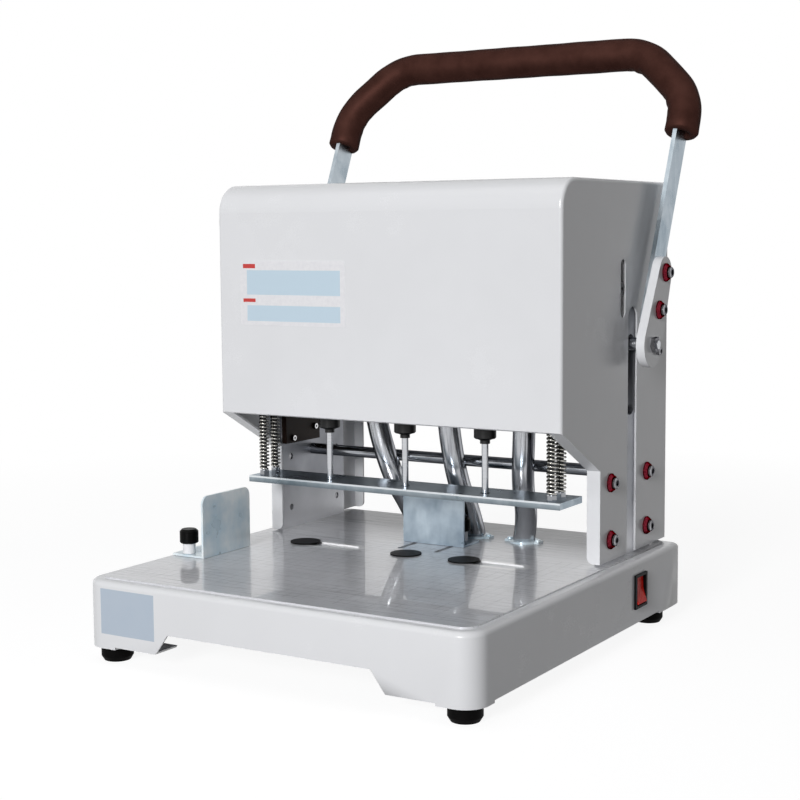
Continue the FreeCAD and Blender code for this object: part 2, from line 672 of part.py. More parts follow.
def make_head_frame():
    heights = ("deck_low", deck_top)
    pieces = [box(across("deck_half"), ("deck_front", "deck_mid"), heights)]
    pieces.append(box(across("deck_rear_half"), ("deck_mid - over", "deck_rear"), heights))
    pieces.append(box(across(f"{block_face} - block_gap"), ("ear_front", "ear_rear"), heights))
    bores = []
    boss_tall = "boss_top - deck_low"
    for sign in SIDES.values():
        cheek_span = to_side(sign, "cheek_x", "cheek_x + cheek_thick")
        pieces.append(box(cheek_span, ("cheek_front", "cheek_rear"), ("deck_low", "cheek_top")))
        column = f"{sign} * column_x"
        pieces.append(rod("z", (column, "column_y", "deck_low"), "boss_radius", boss_tall))
        low = (column, "column_y", "deck_low - over")
        bores.append(rod("z", low, "column_radius + running_gap", f"{boss_tall} + 2 * over"))
    for x, y in ROD_PLACES.values():
        bores.append(rod("z", (x, y, "deck_low - over"), "rod_radius + running_gap", "deck_thick + 2 * over"))
    housing_tall = "housing_top - housing_low"
    for x in drill_x.values():
        pieces.append(rod("z", (x, "drill_y", "housing_low"), "housing_radius", housing_tall))
        low = (x, "drill_y", "housing_low - over")
        bores.append(rod("z", low, "spindle_radius + running_gap", f"{housing_tall} + 2 * over"))
        low = (x, "hose_y", "deck_low - over")
        bores.append(rod("z", low, "pipe_radius - pipe_wall", "deck_thick + 2 * over"))
    half = "cheek_x + cheek_thick + over"
    start = (f"-({half})", "shaft_y", "shaft_z")
    bores.append(rod("x", start, "shaft_radius + running_gap", f"2 * ({half})"))
    node(without(joined(pieces), bores), "head_frame")


# Each pipe carries chips from the top of a hollow spindle over to the hose below the deck.
def chip_pipe(x):
    body = new_body()
    path = sketch_on(body, "YZ_Plane")
    bend = "(hose_y - drill_y) / 2"
    top = "spindle_top + pipe_gap"
    middle = (f"drill_y + {bend}", top)
    circle = Part.Circle(vector(*middle), FreeCAD.Vector(0, 0, 1), value(bend))
    arch = Part.ArcOfCircle(circle, 0, math.pi)
    path.addGeometry(arch)
    path.addGeometry(Part.LineSegment(arch.StartPoint, vector("hose_y", deck_top)))
    path.addConstraint(Sketcher.Constraint("Tangent", 0, 1, 1, 1))
    pin_point(path, 0, 3, *middle)
    pin_point(path, 0, 2, "drill_y", top)
    pin_point(path, 1, 2, "hose_y", deck_top)
    profile = sketch_on(body, "XY_Plane", top)
    for radius in ("pipe_radius", "pipe_radius - pipe_wall"):
        ring(profile, 0, "drill_y", radius)
    sweep_along(body, profile, path, 2)
    put(body, x, 0, 0)
    return body


def sweep_along(body, profile, path, edge_count):
    pipe = body.newObject("PartDesign::AdditivePipe", "Pipe")
    pipe.Profile = profile
    pipe.Spine = (path, [f"Edge{index}" for index in range(1, edge_count + 1)])
    body.Tip = pipe


def belt_height(level):
    return f"belt_first + {level} * belt_step"


def make_belt(label, level, first_end, first_radius, second_end, second_radius):
    body = new_body()
    sketch = sketch_on(body, "XY_Plane", f"{belt_height(level)} - belt_wide / 2")
    for growth in ("belt_gap", "belt_gap + belt_thick"):
        radii = [f"{radius} + {growth}" for radius in (first_radius, second_radius)]
        link_outline(sketch, first_end, radii[0], second_end, radii[1])
    pad(body, sketch, "belt_wide")
    node(body, label)


SPINDLE_BELTS = {"left": (0,), "centre": (0, 1, 2), "right": (1,)}
MOTOR_BELT = 2
groove_half = "belt_wide / 2 + groove_gap"


def make_drive():
    middle = ("0", "drill_y")
    for level, side in enumerate(SIDES):
        make_belt(f"belt_{side}", level, middle, "pulley_radius", (drill_x[side], "drill_y"), "pulley_radius")
    make_belt("belt_motor", MOTOR_BELT, middle, "pulley_radius", ("motor_x", "motor_y"), "motor_pulley")
    top = f"{deck_top} + motor_tall"
    hole = "motor_shaft + slide_gap"
    motor = turned([
        (hole, deck_top), ("motor_radius", deck_top), ("motor_radius", f"{top} - motor_bevel"),
        ("motor_radius - motor_bevel", top), (hole, top),
    ])
    put(motor, "motor_x", "motor_y", 0)
    node(motor, "motor")
    rim = "motor_pulley + pulley_rim - pulley_radius"
    below, above = around(belt_height(MOTOR_BELT), groove_half)
    pulley = turned([
        (0, f"{deck_top} + groove_gap"), ("motor_shaft", f"{deck_top} + groove_gap"),
        ("motor_shaft", f"{below} - pulley_lip"), (rim, f"{below} - pulley_lip"), (rim, below),
        ("motor_pulley", below), ("motor_pulley", above), (rim, above),
        (rim, f"{above} + pulley_lip"), (0, f"{above} + pulley_lip"),
    ])
    put(pulley, "motor_x", "motor_y", 0)
    node(pulley, "motor_pulley")
    node(grouped([chip_pipe(x) for x in drill_x.values()]), "chip_pipes")


def make_spindle(place):
    shoulder = "chuck_low - chuck_bevel"
    corners = [("drill_radius", "nose_low"), ("nose_radius", "nose_low")]
    corners += [("nose_radius", "nose_low + nose_tall"), ("nose_radius + cone_flare", shoulder)]
    corners += [("chuck_radius - chuck_bevel", shoulder)]
    corners += [("chuck_radius", "chuck_low"), ("chuck_radius", "chuck_top - chuck_bevel")]
    corners += [("chuck_radius - chuck_bevel", "chuck_top"), ("spindle_radius", "chuck_top")]
    levels = SPINDLE_BELTS[place]
    lowest = f"{belt_height(levels[0])} - ({groove_half}) - pulley_lip"
    highest = f"{belt_height(levels[-1])} + {groove_half} + pulley_lip"
    corners += [("spindle_radius", lowest), ("pulley_rim", lowest)]
    for level in levels:
        below, above = around(belt_height(level), groove_half)
        corners += [("pulley_rim", below), ("pulley_radius", below)]
        corners += [("pulley_radius", above), ("pulley_rim", above)]
    corners += [("pulley_rim", highest), ("spindle_radius", highest)]
    corners += [("spindle_radius", "spindle_top"), ("drill_radius", "spindle_top")]
    spindle = turned(corners)
    put(spindle, drill_x[place], "drill_y", 0)
    node(spindle, f"spindle_{place}")


def make_drill(place):
    drill = turned([
        ("drill_bore", "drill_tip + drill_edge"), ("drill_bore + drill_edge", "drill_tip"),
        ("drill_radius", "drill_tip + drill_bevel"), ("drill_radius", "drill_in_chuck"),
        ("drill_bore", "drill_in_chuck"),
    ])
    put(drill, drill_x[place], "drill_y", 0)
    node(drill, f"drill_{place}")


# Press plate with its rods and springs

ROD_PLACES = {
    f"{side}_{end}": (f"{sign} * rod_x", f"drill_y + {step} * rod_half_step")
    for side, sign in SIDES.items()
    for end, step in (("front", -1), ("rear", 1))
}


def make_press_plate():
    body = new_body()
    sketch = sketch_on(body, "XY_Plane", "press_low")
    rectangle(sketch, across("press_half"), ("press_front", "press_rear"))
    for x in drill_x.values():
        ring(sketch, x, "drill_y", "press_hole")
    for x, y in ROD_PLACES.values():
        ring(sketch, x, y, "rod_radius")
    pad(body, sketch, "press_thick")
    node(body, "press_plate")
    rods = []
    for x, y in ROD_PLACES.values():
        stem = rod("z", (x, y, "press_low"), "rod_radius", f"{deck_top} + rod_above - press_low")
        lower = hexagon("z", (x, y, press_top), "nut_radius", "nut_tall")
        upper = hexagon("z", (x, y, f"{deck_top} + slide_gap"), "nut_radius", "nut_tall")
        rods.append(joined([stem, lower, upper]))
    node(grouped(rods), "press_rods")


# Two tangent arcs from one point and direction to another.
def biarc(start, start_way, finish, finish_way):
    between = finish - start
    both = start_way + finish_way
    bending = 2 * (1 - start_way.dot(finish_way))
    reach = between.dot(both)
    step = (math.sqrt(reach * reach + bending * between.dot(between)) - reach) / bending
    joint = (start + finish + (start_way - finish_way) * step) * 0.5
    first_half = (start, start + start_way * step, joint)
    second_half = (joint, finish - finish_way * step, finish)
    arcs = []
    for first, corner, last in (first_half, second_half):
        middle = (first + last) * 0.5
        half = (last - first).Length / 2
        rise = corner - middle
        quarter_turn = math.atan2(rise.Length, half) / 2
        top = middle + rise * (half * math.tan(quarter_turn) / rise.Length)
        arcs.append(Part.Arc(first, top, last).toShape())
    return arcs


def helix_knot(radius, rise, angle):
    place = FreeCAD.Vector(radius * math.cos(angle), radius * math.sin(angle), rise * angle)
    way = FreeCAD.Vector(-radius * math.sin(angle), radius * math.cos(angle), rise)
    return place, way.normalize()


WIRE_SIDES = 6


def wire_section(centre, way, radius):
    out = FreeCAD.Vector(centre.x, centre.y, 0).normalize()
    up = way.cross(out)
    corners = []
    for index in range(WIRE_SIDES + 1):
        angle = 2 * math.pi * index / WIRE_SIDES
        corners.append(centre + out * (radius * math.cos(angle)) + up * (radius * math.sin(angle)))
    return Part.makePolygon(corners)


def spring_shape(height):
    radius, wire, turns = value("spring_radius"), value("wire_radius"), int(value("spring_turns"))
    rise = (height - 2 * wire) / (turns * 2 * math.pi)
    knots = [helix_knot(radius, rise, math.pi * half) for half in range(2 * turns + 1)]
    edges = []
    for (start, start_way), (finish, finish_way) in zip(knots, knots[1:]):
        edges += biarc(start, start_way, finish, finish_way)
    path = Part.Wire(edges)
    sweep = Part.BRepOffsetAPI.MakePipeShell(path)
    sweep.add(wire_section(*knots[0], wire))
    sweep.build()
    sweep.makeSolid()
    print(f"spring: least gap between turns {turn_gap(path, turns) - 2 * wire:.2f} mm")
    return sweep.shape()


# The shortest way between points of the wire's middle line that are over half a turn apart.
def turn_gap(path, turns):
    points_a_turn = 24
    points = path.discretize(Number=turns * points_a_turn + 1)
    gaps = []
    for index, point in enumerate(points):
        for other in points[index + points_a_turn // 2:index + 2 * points_a_turn]:
            gaps.append((other - point).Length)
    return min(gaps)


def make_springs():
    low = f"{press_top} + nut_tall + slide_gap"
    coil = spring_shape(value(f"deck_low - slide_gap - ({low})"))
    for place, (x, y) in ROD_PLACES.items():
        spring = doc.addObject("Part::Feature", "Spring")
        spring.Shape = coil
        spring.Placement.Base = FreeCAD.Vector(value(x), value(y), value(f"{low} + wire_radius"))
        node(spring, f"spring_{place}")


# Handle: modelled upright about the shaft, then leaned back

LEVER_SCREWS = [(0, "lever_screw_low"), (0, "lever_reach")]


def lean_back(thing):
    thing.Placement.Rotation = FreeCAD.Rotation(FreeCAD.Vector(1, 0, 0), -value("lean"))
    put(thing, 0, "shaft_y", "shaft_z")
    return thing


def make_lever(side):
    x_low = to_side(SIDES[side], "lever_inner", lever_outer)[0]
    body = new_body()
    sketch = sketch_on(body, "YZ_Plane", x_low)
    link_outline(sketch, (0, 0), "lever_low_radius", (0, "lever_reach"), "lever_high_radius")
    ring(sketch, 0, 0, "shaft_radius")
    ring(sketch, "keeper_back", "-keeper_down", "keeper_shank")
    for y, z in LEVER_SCREWS:
        ring(sketch, y, z, "screw_radius + screw_gap")
    pad(body, sketch, "lever_thick")
    node(lean_back(body), f"lever_{side}")


def grip_sweep(radii):
    body = new_body()
    path = sketch_on(body, "XZ_Plane")
    flat_half, turn_z = "grip_half - grip_bend", "grip_high - grip_bend"
    bends = []
    for x, start in zip(across(flat_half), (math.pi / 2, 0)):
        circle = Part.Circle(vector(x, turn_z), FreeCAD.Vector(0, 0, 1), value("grip_bend"))
        bends.append(Part.ArcOfCircle(circle, start, start + math.pi / 2))
    left, right = bends
    path.addGeometry(Part.LineSegment(vector("-grip_half", "grip_low"), left.EndPoint))
    path.addGeometry(left)
    path.addGeometry(Part.LineSegment(left.StartPoint, right.EndPoint))
    path.addGeometry(right)
    path.addGeometry(Part.LineSegment(right.StartPoint, vector("grip_half", "grip_low")))
    for pair in ((0, 2, 1, 2), (1, 1, 2, 1), (2, 2, 3, 2), (3, 1, 4, 1)):
        path.addConstraint(Sketcher.Constraint("Tangent", *pair))
    pin_point(path, 0, 1, "-grip_half", "grip_low")
    pin_point(path, 4, 2, "grip_half", "grip_low")
    pin_point(path, 1, 3, f"-({flat_half})", turn_z)
    pin_point(path, 3, 3, flat_half, turn_z)
    profile = sketch_on(body, "XY_Plane", "grip_low")
    for radius in radii:
        ring(profile, "-grip_half", 0, radius)
    sweep_along(body, profile, path, 5)
    return body


def arm_bars():
    bars = []
    for sign in SIDES.values():
        x_span = to_side(sign, "lever_inner - arm_thick", "lever_inner")
        bars.append(box(x_span, across("arm_wide / 2"), ("arm_low", "arm_high")))
    return bars


def make_handle():
    half = "lever_inner + over"
    holes = []
    for y, z in LEVER_SCREWS:
        holes.append(rod("x", (f"-({half})", y, z), "screw_radius + screw_gap", f"2 * ({half})"))
    frame = without(joined([grip_sweep(["tube_radius"])] + arm_bars()), holes)
    node(lean_back(frame), "handle_frame")
    foam = without(grip_sweep(["grip_radius", "tube_radius"]), arm_bars())
    node(lean_back(foam), "foam_grip")
    screws, washers = screws_and_washers(lever_outer, LEVER_SCREWS, "lever_thick + arm_thick")
    node(lean_back(screws), "lever_screws")
    node(lean_back(washers), "lever_washers")
    ends = []
    for sign in SIDES.values():
        nut = hexagon("z", (0, 0, 0), "shaft_nut_radius", "shaft_nut_tall")
        bore = rod("z", (0, 0, "-over"), "stub_radius", "shaft_nut_tall + 2 * over")
        ends.append(face_out(without(nut, [bore]), sign, lever_outer, 0, 0))
        shank = "lever_thick - screw_short"
        keeper = cap_screw("keeper_shank", shank, "keeper_radius", "keeper_tall", "0", "keeper_socket")
        ends.append(face_out(keeper, sign, lever_outer, "keeper_back", "-keeper_down"))
    node(lean_back(grouped(ends)), "shaft_nuts")


# Chip hoses: straight runs joined by tangent arcs, each as large as its two runs allow

RUN_SHARE = 0.45


def hose_path(points):
    edges = []
    start = points[0]
    for before, corner, after in zip(points, points[1:], points[2:]):
        into, out = corner - before, after - corner
        half_turn = into.getAngle(out) / 2
        trim = RUN_SHARE * min(into.Length, out.Length)
        into.normalize()
        out.normalize()
        first, last = corner - into * trim, corner + out * trim
        radius = trim / math.tan(half_turn)
        inward = (out - into).normalize()
        middle = corner + inward * (radius / math.cos(half_turn) - radius)
        edges.append(Part.LineSegment(start, first).toShape())
        edges.append(Part.Arc(first, middle, last).toShape())
        start = last
    edges.append(Part.LineSegment(start, points[-1]).toShape())
    return Part.Wire(edges)


def make_hose(place):
    top_x, foot_x = value(drill_x[place]), value(hose_foot_x[place])
    front, back = value("hose_y"), value("hose_foot_y")
    high, low = value("deck_low"), value(f"{table_top} + flange_thick")
    sway = foot_x - top_x
    upper_x = top_x + value("hose_lean") + value("hose_sway_high") * sway
    lower_x = top_x + value("hose_lean") + value("hose_sway_low") * sway
    points = [
        FreeCAD.Vector(top_x, front, high),
        FreeCAD.Vector(top_x, front, high - value("hose_straight")),
        FreeCAD.Vector(upper_x, front + value("hose_step_back"), high - value("hose_drop")),
        FreeCAD.Vector(lower_x, back - value("hose_low_front"), low + value("hose_low_up")),
        FreeCAD.Vector(foot_x, back, low),
    ]
    points[-1] += (points[-1] - points[-2]).normalize() * value("hose_tail")
    path = hose_path(points)
    tubes = []
    for radius in (value("hose_radius"), value("hose_bore")):
        circle = Part.Wire(Part.makeCircle(radius, points[0], FreeCAD.Vector(0, 0, 1)))
        tubes.append(path.makePipeShell([circle], True, False))
    tube = tubes[0].cut(tubes[1])
    section = value("pi * (hose_radius ^ 2 - hose_bore ^ 2)")
    ratio = tube.Volume / (section * path.Length)
    print(f"hose {place}: length {path.Length:.1f} mm, volume over section times length {ratio:.3f}")
    side = 4 * value("hose_radius")
    corner = FreeCAD.Vector(foot_x - side / 2, back - side / 2, low - side)
    hose = doc.addObject("Part::Feature", "Hose")
    hose.Shape = tube.cut(Part.makeBox(side, side, side, corner))
    node(hose, f"chip_hose_{place}")


def make_chip_sockets():
    sockets = []
    top = f"{table_top} + flange_thick"
    for foot in hose_foot_x.values():
        flange = rod("z", (foot, "hose_foot_y", table_top), "hose_radius + flange_rim", "flange_thick")
        tab = box(around(foot, "tab_half_long"), around("hose_foot_y", "tab_half_wide"), (table_top, top))
        low = (foot, "hose_foot_y", f"{table_top} - over")
        bore = rod("z", low, "hose_bore", "flange_thick + 2 * over")
        sockets.append(without(joined([flange, tab]), [bore]))
        for x in around(foot, "tab_screw_step"):
            sockets.append(rod("z", (x, "hose_foot_y", top), "tab_screw", "tab_screw_tall"))
    node(grouped(sockets), "chip_sockets")


# Cutting pads, paper guides and their knobs

def make_pads():
    top = f"{table_top} + pad_thick"
    fixed = turned([(0, table_top), ("pad_radius", table_top), ("pad_radius", top), (0, top)])
    put(fixed, 0, "drill_y", 0)
    node(fixed, "pad_centre")
    tongue = "pad_slot_half - slide_gap"
    for side, sign in SIDES.items():
        sliding = turned([
            (0, "base_top + slide_gap"), (tongue, "base_top + slide_gap"), (tongue, slide_low),
            ("pad_radius", slide_low), ("pad_radius", f"{slide_low} + pad_thick"),
            (0, f"{slide_low} + pad_thick"),
        ])
        put(sliding, f"{sign} * pad_centre - pad_travel / 2", "drill_y", 0)
        node(sliding, f"pad_{side}")


def make_knob(label, x, y):
    low = f"{slide_low} + guide_sheet + slide_gap"
    neck = f"{low} + stem_tall"
    top = f"{neck} + knob_tall"
    knob = turned([
        (0, "stud_low"), ("stud_radius", "stud_low"), ("stud_radius", low), ("stem_radius", low),
        ("stem_radius", neck), ("knob_radius - knob_bevel", neck), ("knob_radius", f"{neck} + knob_bevel"),
        ("knob_radius", f"{top} - knob_crown"), ("knob_radius - knob_crown", top), (0, top),
    ])
    put(knob, x, y, 0)
    node(knob, label)


def stud_hole(x, y):
    return rod("z", (x, y, f"{slide_low} - over"), "stud_radius + slide_gap", "guide_sheet + 2 * over")


def round_top_corners(face, top):
    def is_top_corner(edge):
        return edge.BoundBox.ZMin > value(top) - TOUCH and edge.Length < value("guide_sheet") + TOUCH

    round_edges(face, "plate_round", is_top_corner)


def make_side_guide():
    high = f"{slide_low} + guide_tall"
    y_span = ("guide_front", "guide_front + guide_long")
    corners = [(y_span[0], slide_low), (y_span[1], slide_low), (y_span[1], high), (y_span[0], high)]
    face = side_sheet("guide_x - guide_sheet", "guide_sheet", corners)
    round_top_corners(face, high)
    foot = box(("guide_x - guide_foot", "guide_x"), y_span, (slide_low, f"{slide_low} + guide_sheet"))
    node(without(joined([face, foot]), [stud_hole("guide_knob_x", "guide_knob_y")]), "side_guide")
    make_knob("side_guide_knob", "guide_knob_x", "guide_knob_y")


def make_back_gauge():
    high = f"{slide_low} + guide_tall"
    face = new_body()
    sketch = sketch_on(face, "XZ_Plane", "-gauge_y - guide_sheet")
    rectangle(sketch, across("gauge_half"), (slide_low, high))
    pad(face, sketch, "guide_sheet")
    round_top_corners(face, high)
    y_span = ("gauge_y", "gauge_y + gauge_foot")
    foot = box(across("gauge_half"), y_span, (slide_low, f"{slide_low} + guide_sheet"))
    holes = [stud_hole(x, "gauge_knob_y") for x in across("gauge_knob_x")]
    node(without(joined([face, foot]), holes), "back_gauge")
    for side, sign in SIDES.items():
        make_knob(f"back_gauge_knob_{side}", f"{sign} * gauge_knob_x", "gauge_knob_y")


# Switch, power inlet, depth stop and chip drawer

def make_switch():
    inner_y, inner_z = "bezel_wide / 2 - bezel_rim", "bezel_tall / 2 - bezel_rim"
    front = f"{base_half} + bezel_thick"
    rim = box((base_half, front), around("switch_y", "bezel_wide / 2"), around("switch_z", "bezel_tall / 2"))
    case_x = (f"{base_half} - switch_deep", f"{base_half} + bezel_thick / 2")
    case = box(case_x, around("switch_y", inner_y), around("switch_z", inner_z))
    mouth_x = (f"{base_half} - mouth_deep", f"{front} + over")
    mouth_y = around("switch_y", f"{inner_y} - bezel_wall")
    mouth = box(mouth_x, mouth_y, around("switch_z", f"{inner_z} - rocker_gap"))
    pivot_x = f"{base_half} - rocker_inset"
    start = (pivot_x, f"switch_y - ({inner_y})", "switch_z")
    pin_hole = rod("y", start, "rocker_pin + running_gap", f"2 * ({inner_y})")
    node(without(joined([rim, case]), [mouth, pin_hole]), "switch_bezel")
    wedge = new_body()
    sketch = sketch_on(wedge, "XZ_Plane")
    ends = [("rocker_nose", "-rocker_half"), ("rocker_dip", 0), ("rocker_nose", "rocker_half")]
    polygon(sketch, [("-rocker_back", "-rocker_back_half")] + ends + [("-rocker_back", "rocker_back_half")])
    pad(wedge, sketch, f"2 * ({inner_y} - bezel_wall - rocker_gap)").Midplane = True
    pin_half = f"{inner_y} - pin_short"
    pin = rod("y", (0, f"-({pin_half})", 0), "rocker_pin", f"2 * ({pin_half})")
    rocker = joined([wedge, pin])
    rocker.Placement.Rotation = FreeCAD.Rotation(FreeCAD.Vector(0, 1, 0), -value("rocker_tilt"))
    put(rocker, pivot_x, "switch_y", "switch_z")
    node(rocker, "rocker")


def make_power_inlet():
    flange_y = (base_rear, f"{base_rear} + inlet_wall")
    flange = box(around("inlet_x", "inlet_flange"), flange_y, around("inlet_z", "inlet_flange_tall"))
    case_y = (f"{base_rear} - inlet_deep", f"{base_rear} + inlet_wall / 2")
    case = box(around("inlet_x", "inlet_half"), case_y, around("inlet_z", "inlet_half_tall"))
    mouth_y = (f"{base_rear} - inlet_mouth", f"{base_rear} + inlet_wall + over")
    mouth_z = around("inlet_z", "inlet_half_tall - inlet_wall")
    mouth = box(around("inlet_x", "inlet_half - inlet_wall"), mouth_y, mouth_z)
    pins = []
    for step, lift in ((-1, -1), (0, 1), (1, -1)):
        x_span = around(f"inlet_x + {step} * pin_step", "pin_half")
        pin_y = (f"{base_rear} - inlet_mouth - pin_half", f"{base_rear} - pin_end")
        pins.append(box(x_span, pin_y, around(f"inlet_z + {lift} * pin_lift", "pin_half_tall")))
    node(joined([without(joined([flange, case]), [mouth])] + pins), "power_inlet")


def make_depth_stop():
    outer = "hood_half - stop_sunk"
    far = f"{plate_inner} - slide_gap"
    tongue_start = f"{far} - over"
    tongue_long = f"{outer} - ({tongue_start})"
    tongue_round = "stop_slot_half - slide_gap"
    low_end, high_end = [("stop_y", z) for z in around("stop_z", f"stop_half_tall - ({tongue_round})")]
    tongue = slot_tool("YZ_Plane", tongue_start, tongue_long, low_end, high_end, tongue_round)
    z_span = around("stop_z", "stop_block_tall / 2")
    block = box((f"{far} - stop_block", far), around("stop_y", "stop_block / 2"), z_span)
    socket_start = (f"{outer} - socket_deep", "stop_y", "stop_z")
    socket = hexagon("x", socket_start, "stop_socket", "socket_deep + over")
    node(without(joined([tongue, block]), [socket]), "depth_stop")


def make_chip_drawer():
    x_span, z_span = ("drawer_left", "drawer_right"), ("drawer_low", "drawer_top")
    tray = box(x_span, ("drawer_front", f"{base_rear} + drawer_gap"), z_span)
    hollow_x = ("drawer_left + sheet", "drawer_right - sheet")
    hollow_y = ("drawer_front + sheet", f"{base_rear} - sheet")
    hollow = box(hollow_x, hollow_y, ("drawer_low + sheet", "drawer_top + over"))
    front_x = ("drawer_left - drawer_rim", "drawer_right + drawer_rim")
    front_y = (f"{base_rear} + slide_gap", f"{base_rear} + drawer_front_thick")
    front_z = ("drawer_low - drawer_front_rim", "drawer_top + drawer_front_rim")
    front = box(front_x, front_y, front_z)
    middle = "(drawer_left + drawer_right) / 2"
    pull_start = (middle, f"{base_rear} - 2 * sheet", "drawer_top + drawer_front_rim")
    pull = rod("y", pull_start, "pull_radius", "4 * sheet")
    node(without(joined([without(tray, [hollow]), front]), [pull]), "chip_drawer")


make_base_cover()
make_table_plate()
make_rubber_feet()
make_hood_cover()
for side_name in SIDES:
    make_side_plate(side_name)
    make_rack(side_name)
    make_lever(side_name)
make_tie_rod()
make_post_fasteners()
make_slide_blocks()
make_columns()
make_pinion_shaft()
make_head_frame()
make_drive()
for place_name in PLACES:
    make_spindle(place_name)
    make_drill(place_name)
    make_hose(place_name)
make_chip_sockets()
make_press_plate()
make_springs()
make_handle()
make_pads()
make_side_guide()
make_back_gauge()
make_switch()
make_power_inlet()
make_depth_stop()
make_chip_drawer()
doc.recompute()

for item in doc.Objects:
    if "Invalid" in item.State or "Error" in item.State:
        raise RuntimeError(f"{item.Label} failed: {item.State}")
for piece in nodes:
    if piece.Shape.isNull() or not piece.Shape.isValid():
        raise RuntimeError(f"{piece.Label} has no valid shape")

os.makedirs("parts", exist_ok=True)
for piece in nodes:
    piece.Shape.exportStep(f"parts/{piece.Label}.step")
print(f"{len(nodes)} nodes written")
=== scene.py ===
import math
import bmesh
import bpy
from mathutils import Matrix, Vector


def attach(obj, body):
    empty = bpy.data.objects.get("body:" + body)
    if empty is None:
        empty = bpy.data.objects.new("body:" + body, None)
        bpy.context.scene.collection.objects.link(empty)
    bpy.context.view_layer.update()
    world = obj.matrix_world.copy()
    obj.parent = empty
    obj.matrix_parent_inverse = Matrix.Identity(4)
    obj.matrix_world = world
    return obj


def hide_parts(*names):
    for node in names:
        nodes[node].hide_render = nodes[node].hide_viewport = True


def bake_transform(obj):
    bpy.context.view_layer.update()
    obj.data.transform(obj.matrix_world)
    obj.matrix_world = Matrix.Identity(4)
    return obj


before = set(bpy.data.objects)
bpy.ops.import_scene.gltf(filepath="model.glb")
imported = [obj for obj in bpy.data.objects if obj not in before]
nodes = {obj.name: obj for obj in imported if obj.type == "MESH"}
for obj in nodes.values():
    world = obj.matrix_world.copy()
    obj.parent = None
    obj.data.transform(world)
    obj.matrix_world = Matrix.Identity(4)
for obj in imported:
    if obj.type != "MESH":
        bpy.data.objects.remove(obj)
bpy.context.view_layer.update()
scene = bpy.context.scene
scene.view_settings.view_transform = "Standard"


def tint(red, green, blue):
    # screen colour, 0 to 255, as the linear colour that the shaders take
    steps = [part / 255 for part in (red, green, blue)]
    return tuple(s / 12.92 if s <= 0.04045 else ((s + 0.055) / 1.055) ** 2.4 for s in steps) + (1.0,)


class Flow:
    # one output socket, on which arithmetic adds Math nodes
    def __init__(self, graph, socket):
        self.graph = graph
        self.socket = socket

    def math(self, operation, first, second):
        return self.graph.add("ShaderNodeMath", {"operation": operation}, {0: first, 1: second})

    def __add__(self, other):
        return self.math("ADD", self, other)

    def __radd__(self, other):
        return self.math("ADD", other, self)

    def __sub__(self, other):
        return self.math("SUBTRACT", self, other)

    def __rsub__(self, other):
        return self.math("SUBTRACT", other, self)

    def __mul__(self, other):
        return self.math("MULTIPLY", self, other)

    def __rmul__(self, other):
        return self.math("MULTIPLY", other, self)

    def __pow__(self, other):
        return self.math("POWER", self, other)

    def __mod__(self, other):
        return self.math("FLOORED_MODULO", self, other)

    def __gt__(self, other):
        return self.math("GREATER_THAN", self, other)

    def __lt__(self, other):
        return self.math("LESS_THAN", self, other)

    def __abs__(self):
        return self.math("ABSOLUTE", self, 0.0)

    def atMost(self, other):
        return self.math("MINIMUM", self, other)

    def atLeast(self, other):
        return self.math("MAXIMUM", self, other)


class Graph:
    # a node tree that is written one call a node
    def __init__(self, tree):
        self.tree = tree
        self.tree.nodes.clear()

    def add(self, kind, settings=None, sockets=None, out=0):
        item = self.tree.nodes.new(kind)
        for name, value in (settings or {}).items():
            setattr(item, name, value)
        for key, value in (sockets or {}).items():
            if isinstance(value, Flow):
                self.tree.links.new(value.socket, item.inputs[key])
            else:
                item.inputs[key].default_value = value
        return Flow(self, item.outputs[out]) if item.outputs else None

    def place(self):
        return self.add("ShaderNodeTexCoord", out="Object")

    def axes(self, vector, names):
        return [self.add("ShaderNodeSeparateXYZ", None, {0: vector}, out=name) for name in names]

    def texture(self, vector, kind, warp=0.0):
        # noise of a scale, a detail and a roughness; a scale of three numbers stretches it
        scale, detail, rough = kind
        if isinstance(scale, tuple):
            vector = self.add("ShaderNodeMapping", None, {"Vector": vector, "Scale": scale})
            scale = 1.0
        sockets = {"Vector": vector, "Scale": scale, "Detail": detail, "Roughness": rough, "Distortion": warp}
        return self.add("ShaderNodeTexNoise", None, sockets)

    def ramp(self, value, low, high, fromLow=0.0, fromHigh=1.0):
        sockets = {"Value": value, "From Min": fromLow, "From Max": fromHigh, "To Min": low, "To Max": high}
        return self.add("ShaderNodeMapRange", {"clamp": True}, sockets)

    def mix(self, share, first, second):
        return self.add("ShaderNodeMix", {"data_type": "RGBA"}, {0: share, 6: first, 7: second}, out=2)

    def shaded(self, cloud, shades, span):
        # from the first shade to the second, over a span of the cloud
        return self.mix(self.ramp(cloud, 0.0, 1.0, *span), *shades)

    def bump(self, height, strength, depth):
        return self.add("ShaderNodeBump", None, {"Strength": strength, "Distance": depth, "Height": height})


def makeFinish(name, recipe):
    finish = bpy.data.materials.new(name)
    finish.use_nodes = True
    graph = Graph(finish.node_tree)
    shader = graph.add("ShaderNodeBsdfPrincipled", None, recipe(graph, graph.place()), out="BSDF")
    graph.add("ShaderNodeOutputMaterial", None, {"Surface": shader})
    return finish


# the camera is solved from the photograph's edges; lengths are in metres, angles in degrees
studio = {
    "place": (0.7404, -1.2233, 0.3683), "turn": 31.65, "dip": 5.83, "roll": -0.43,
    "lens": 70.56, "sensor": 36.0, "shift": (0.0028, -0.0082), "clip": 0.05,
    "floorSize": 12.0, "floorColour": tint(128, 128, 129), "floorGlow": 0.90,
    "floorNear": 0.6, "floorFar": 1.3, "skyFill": 0.07,
}


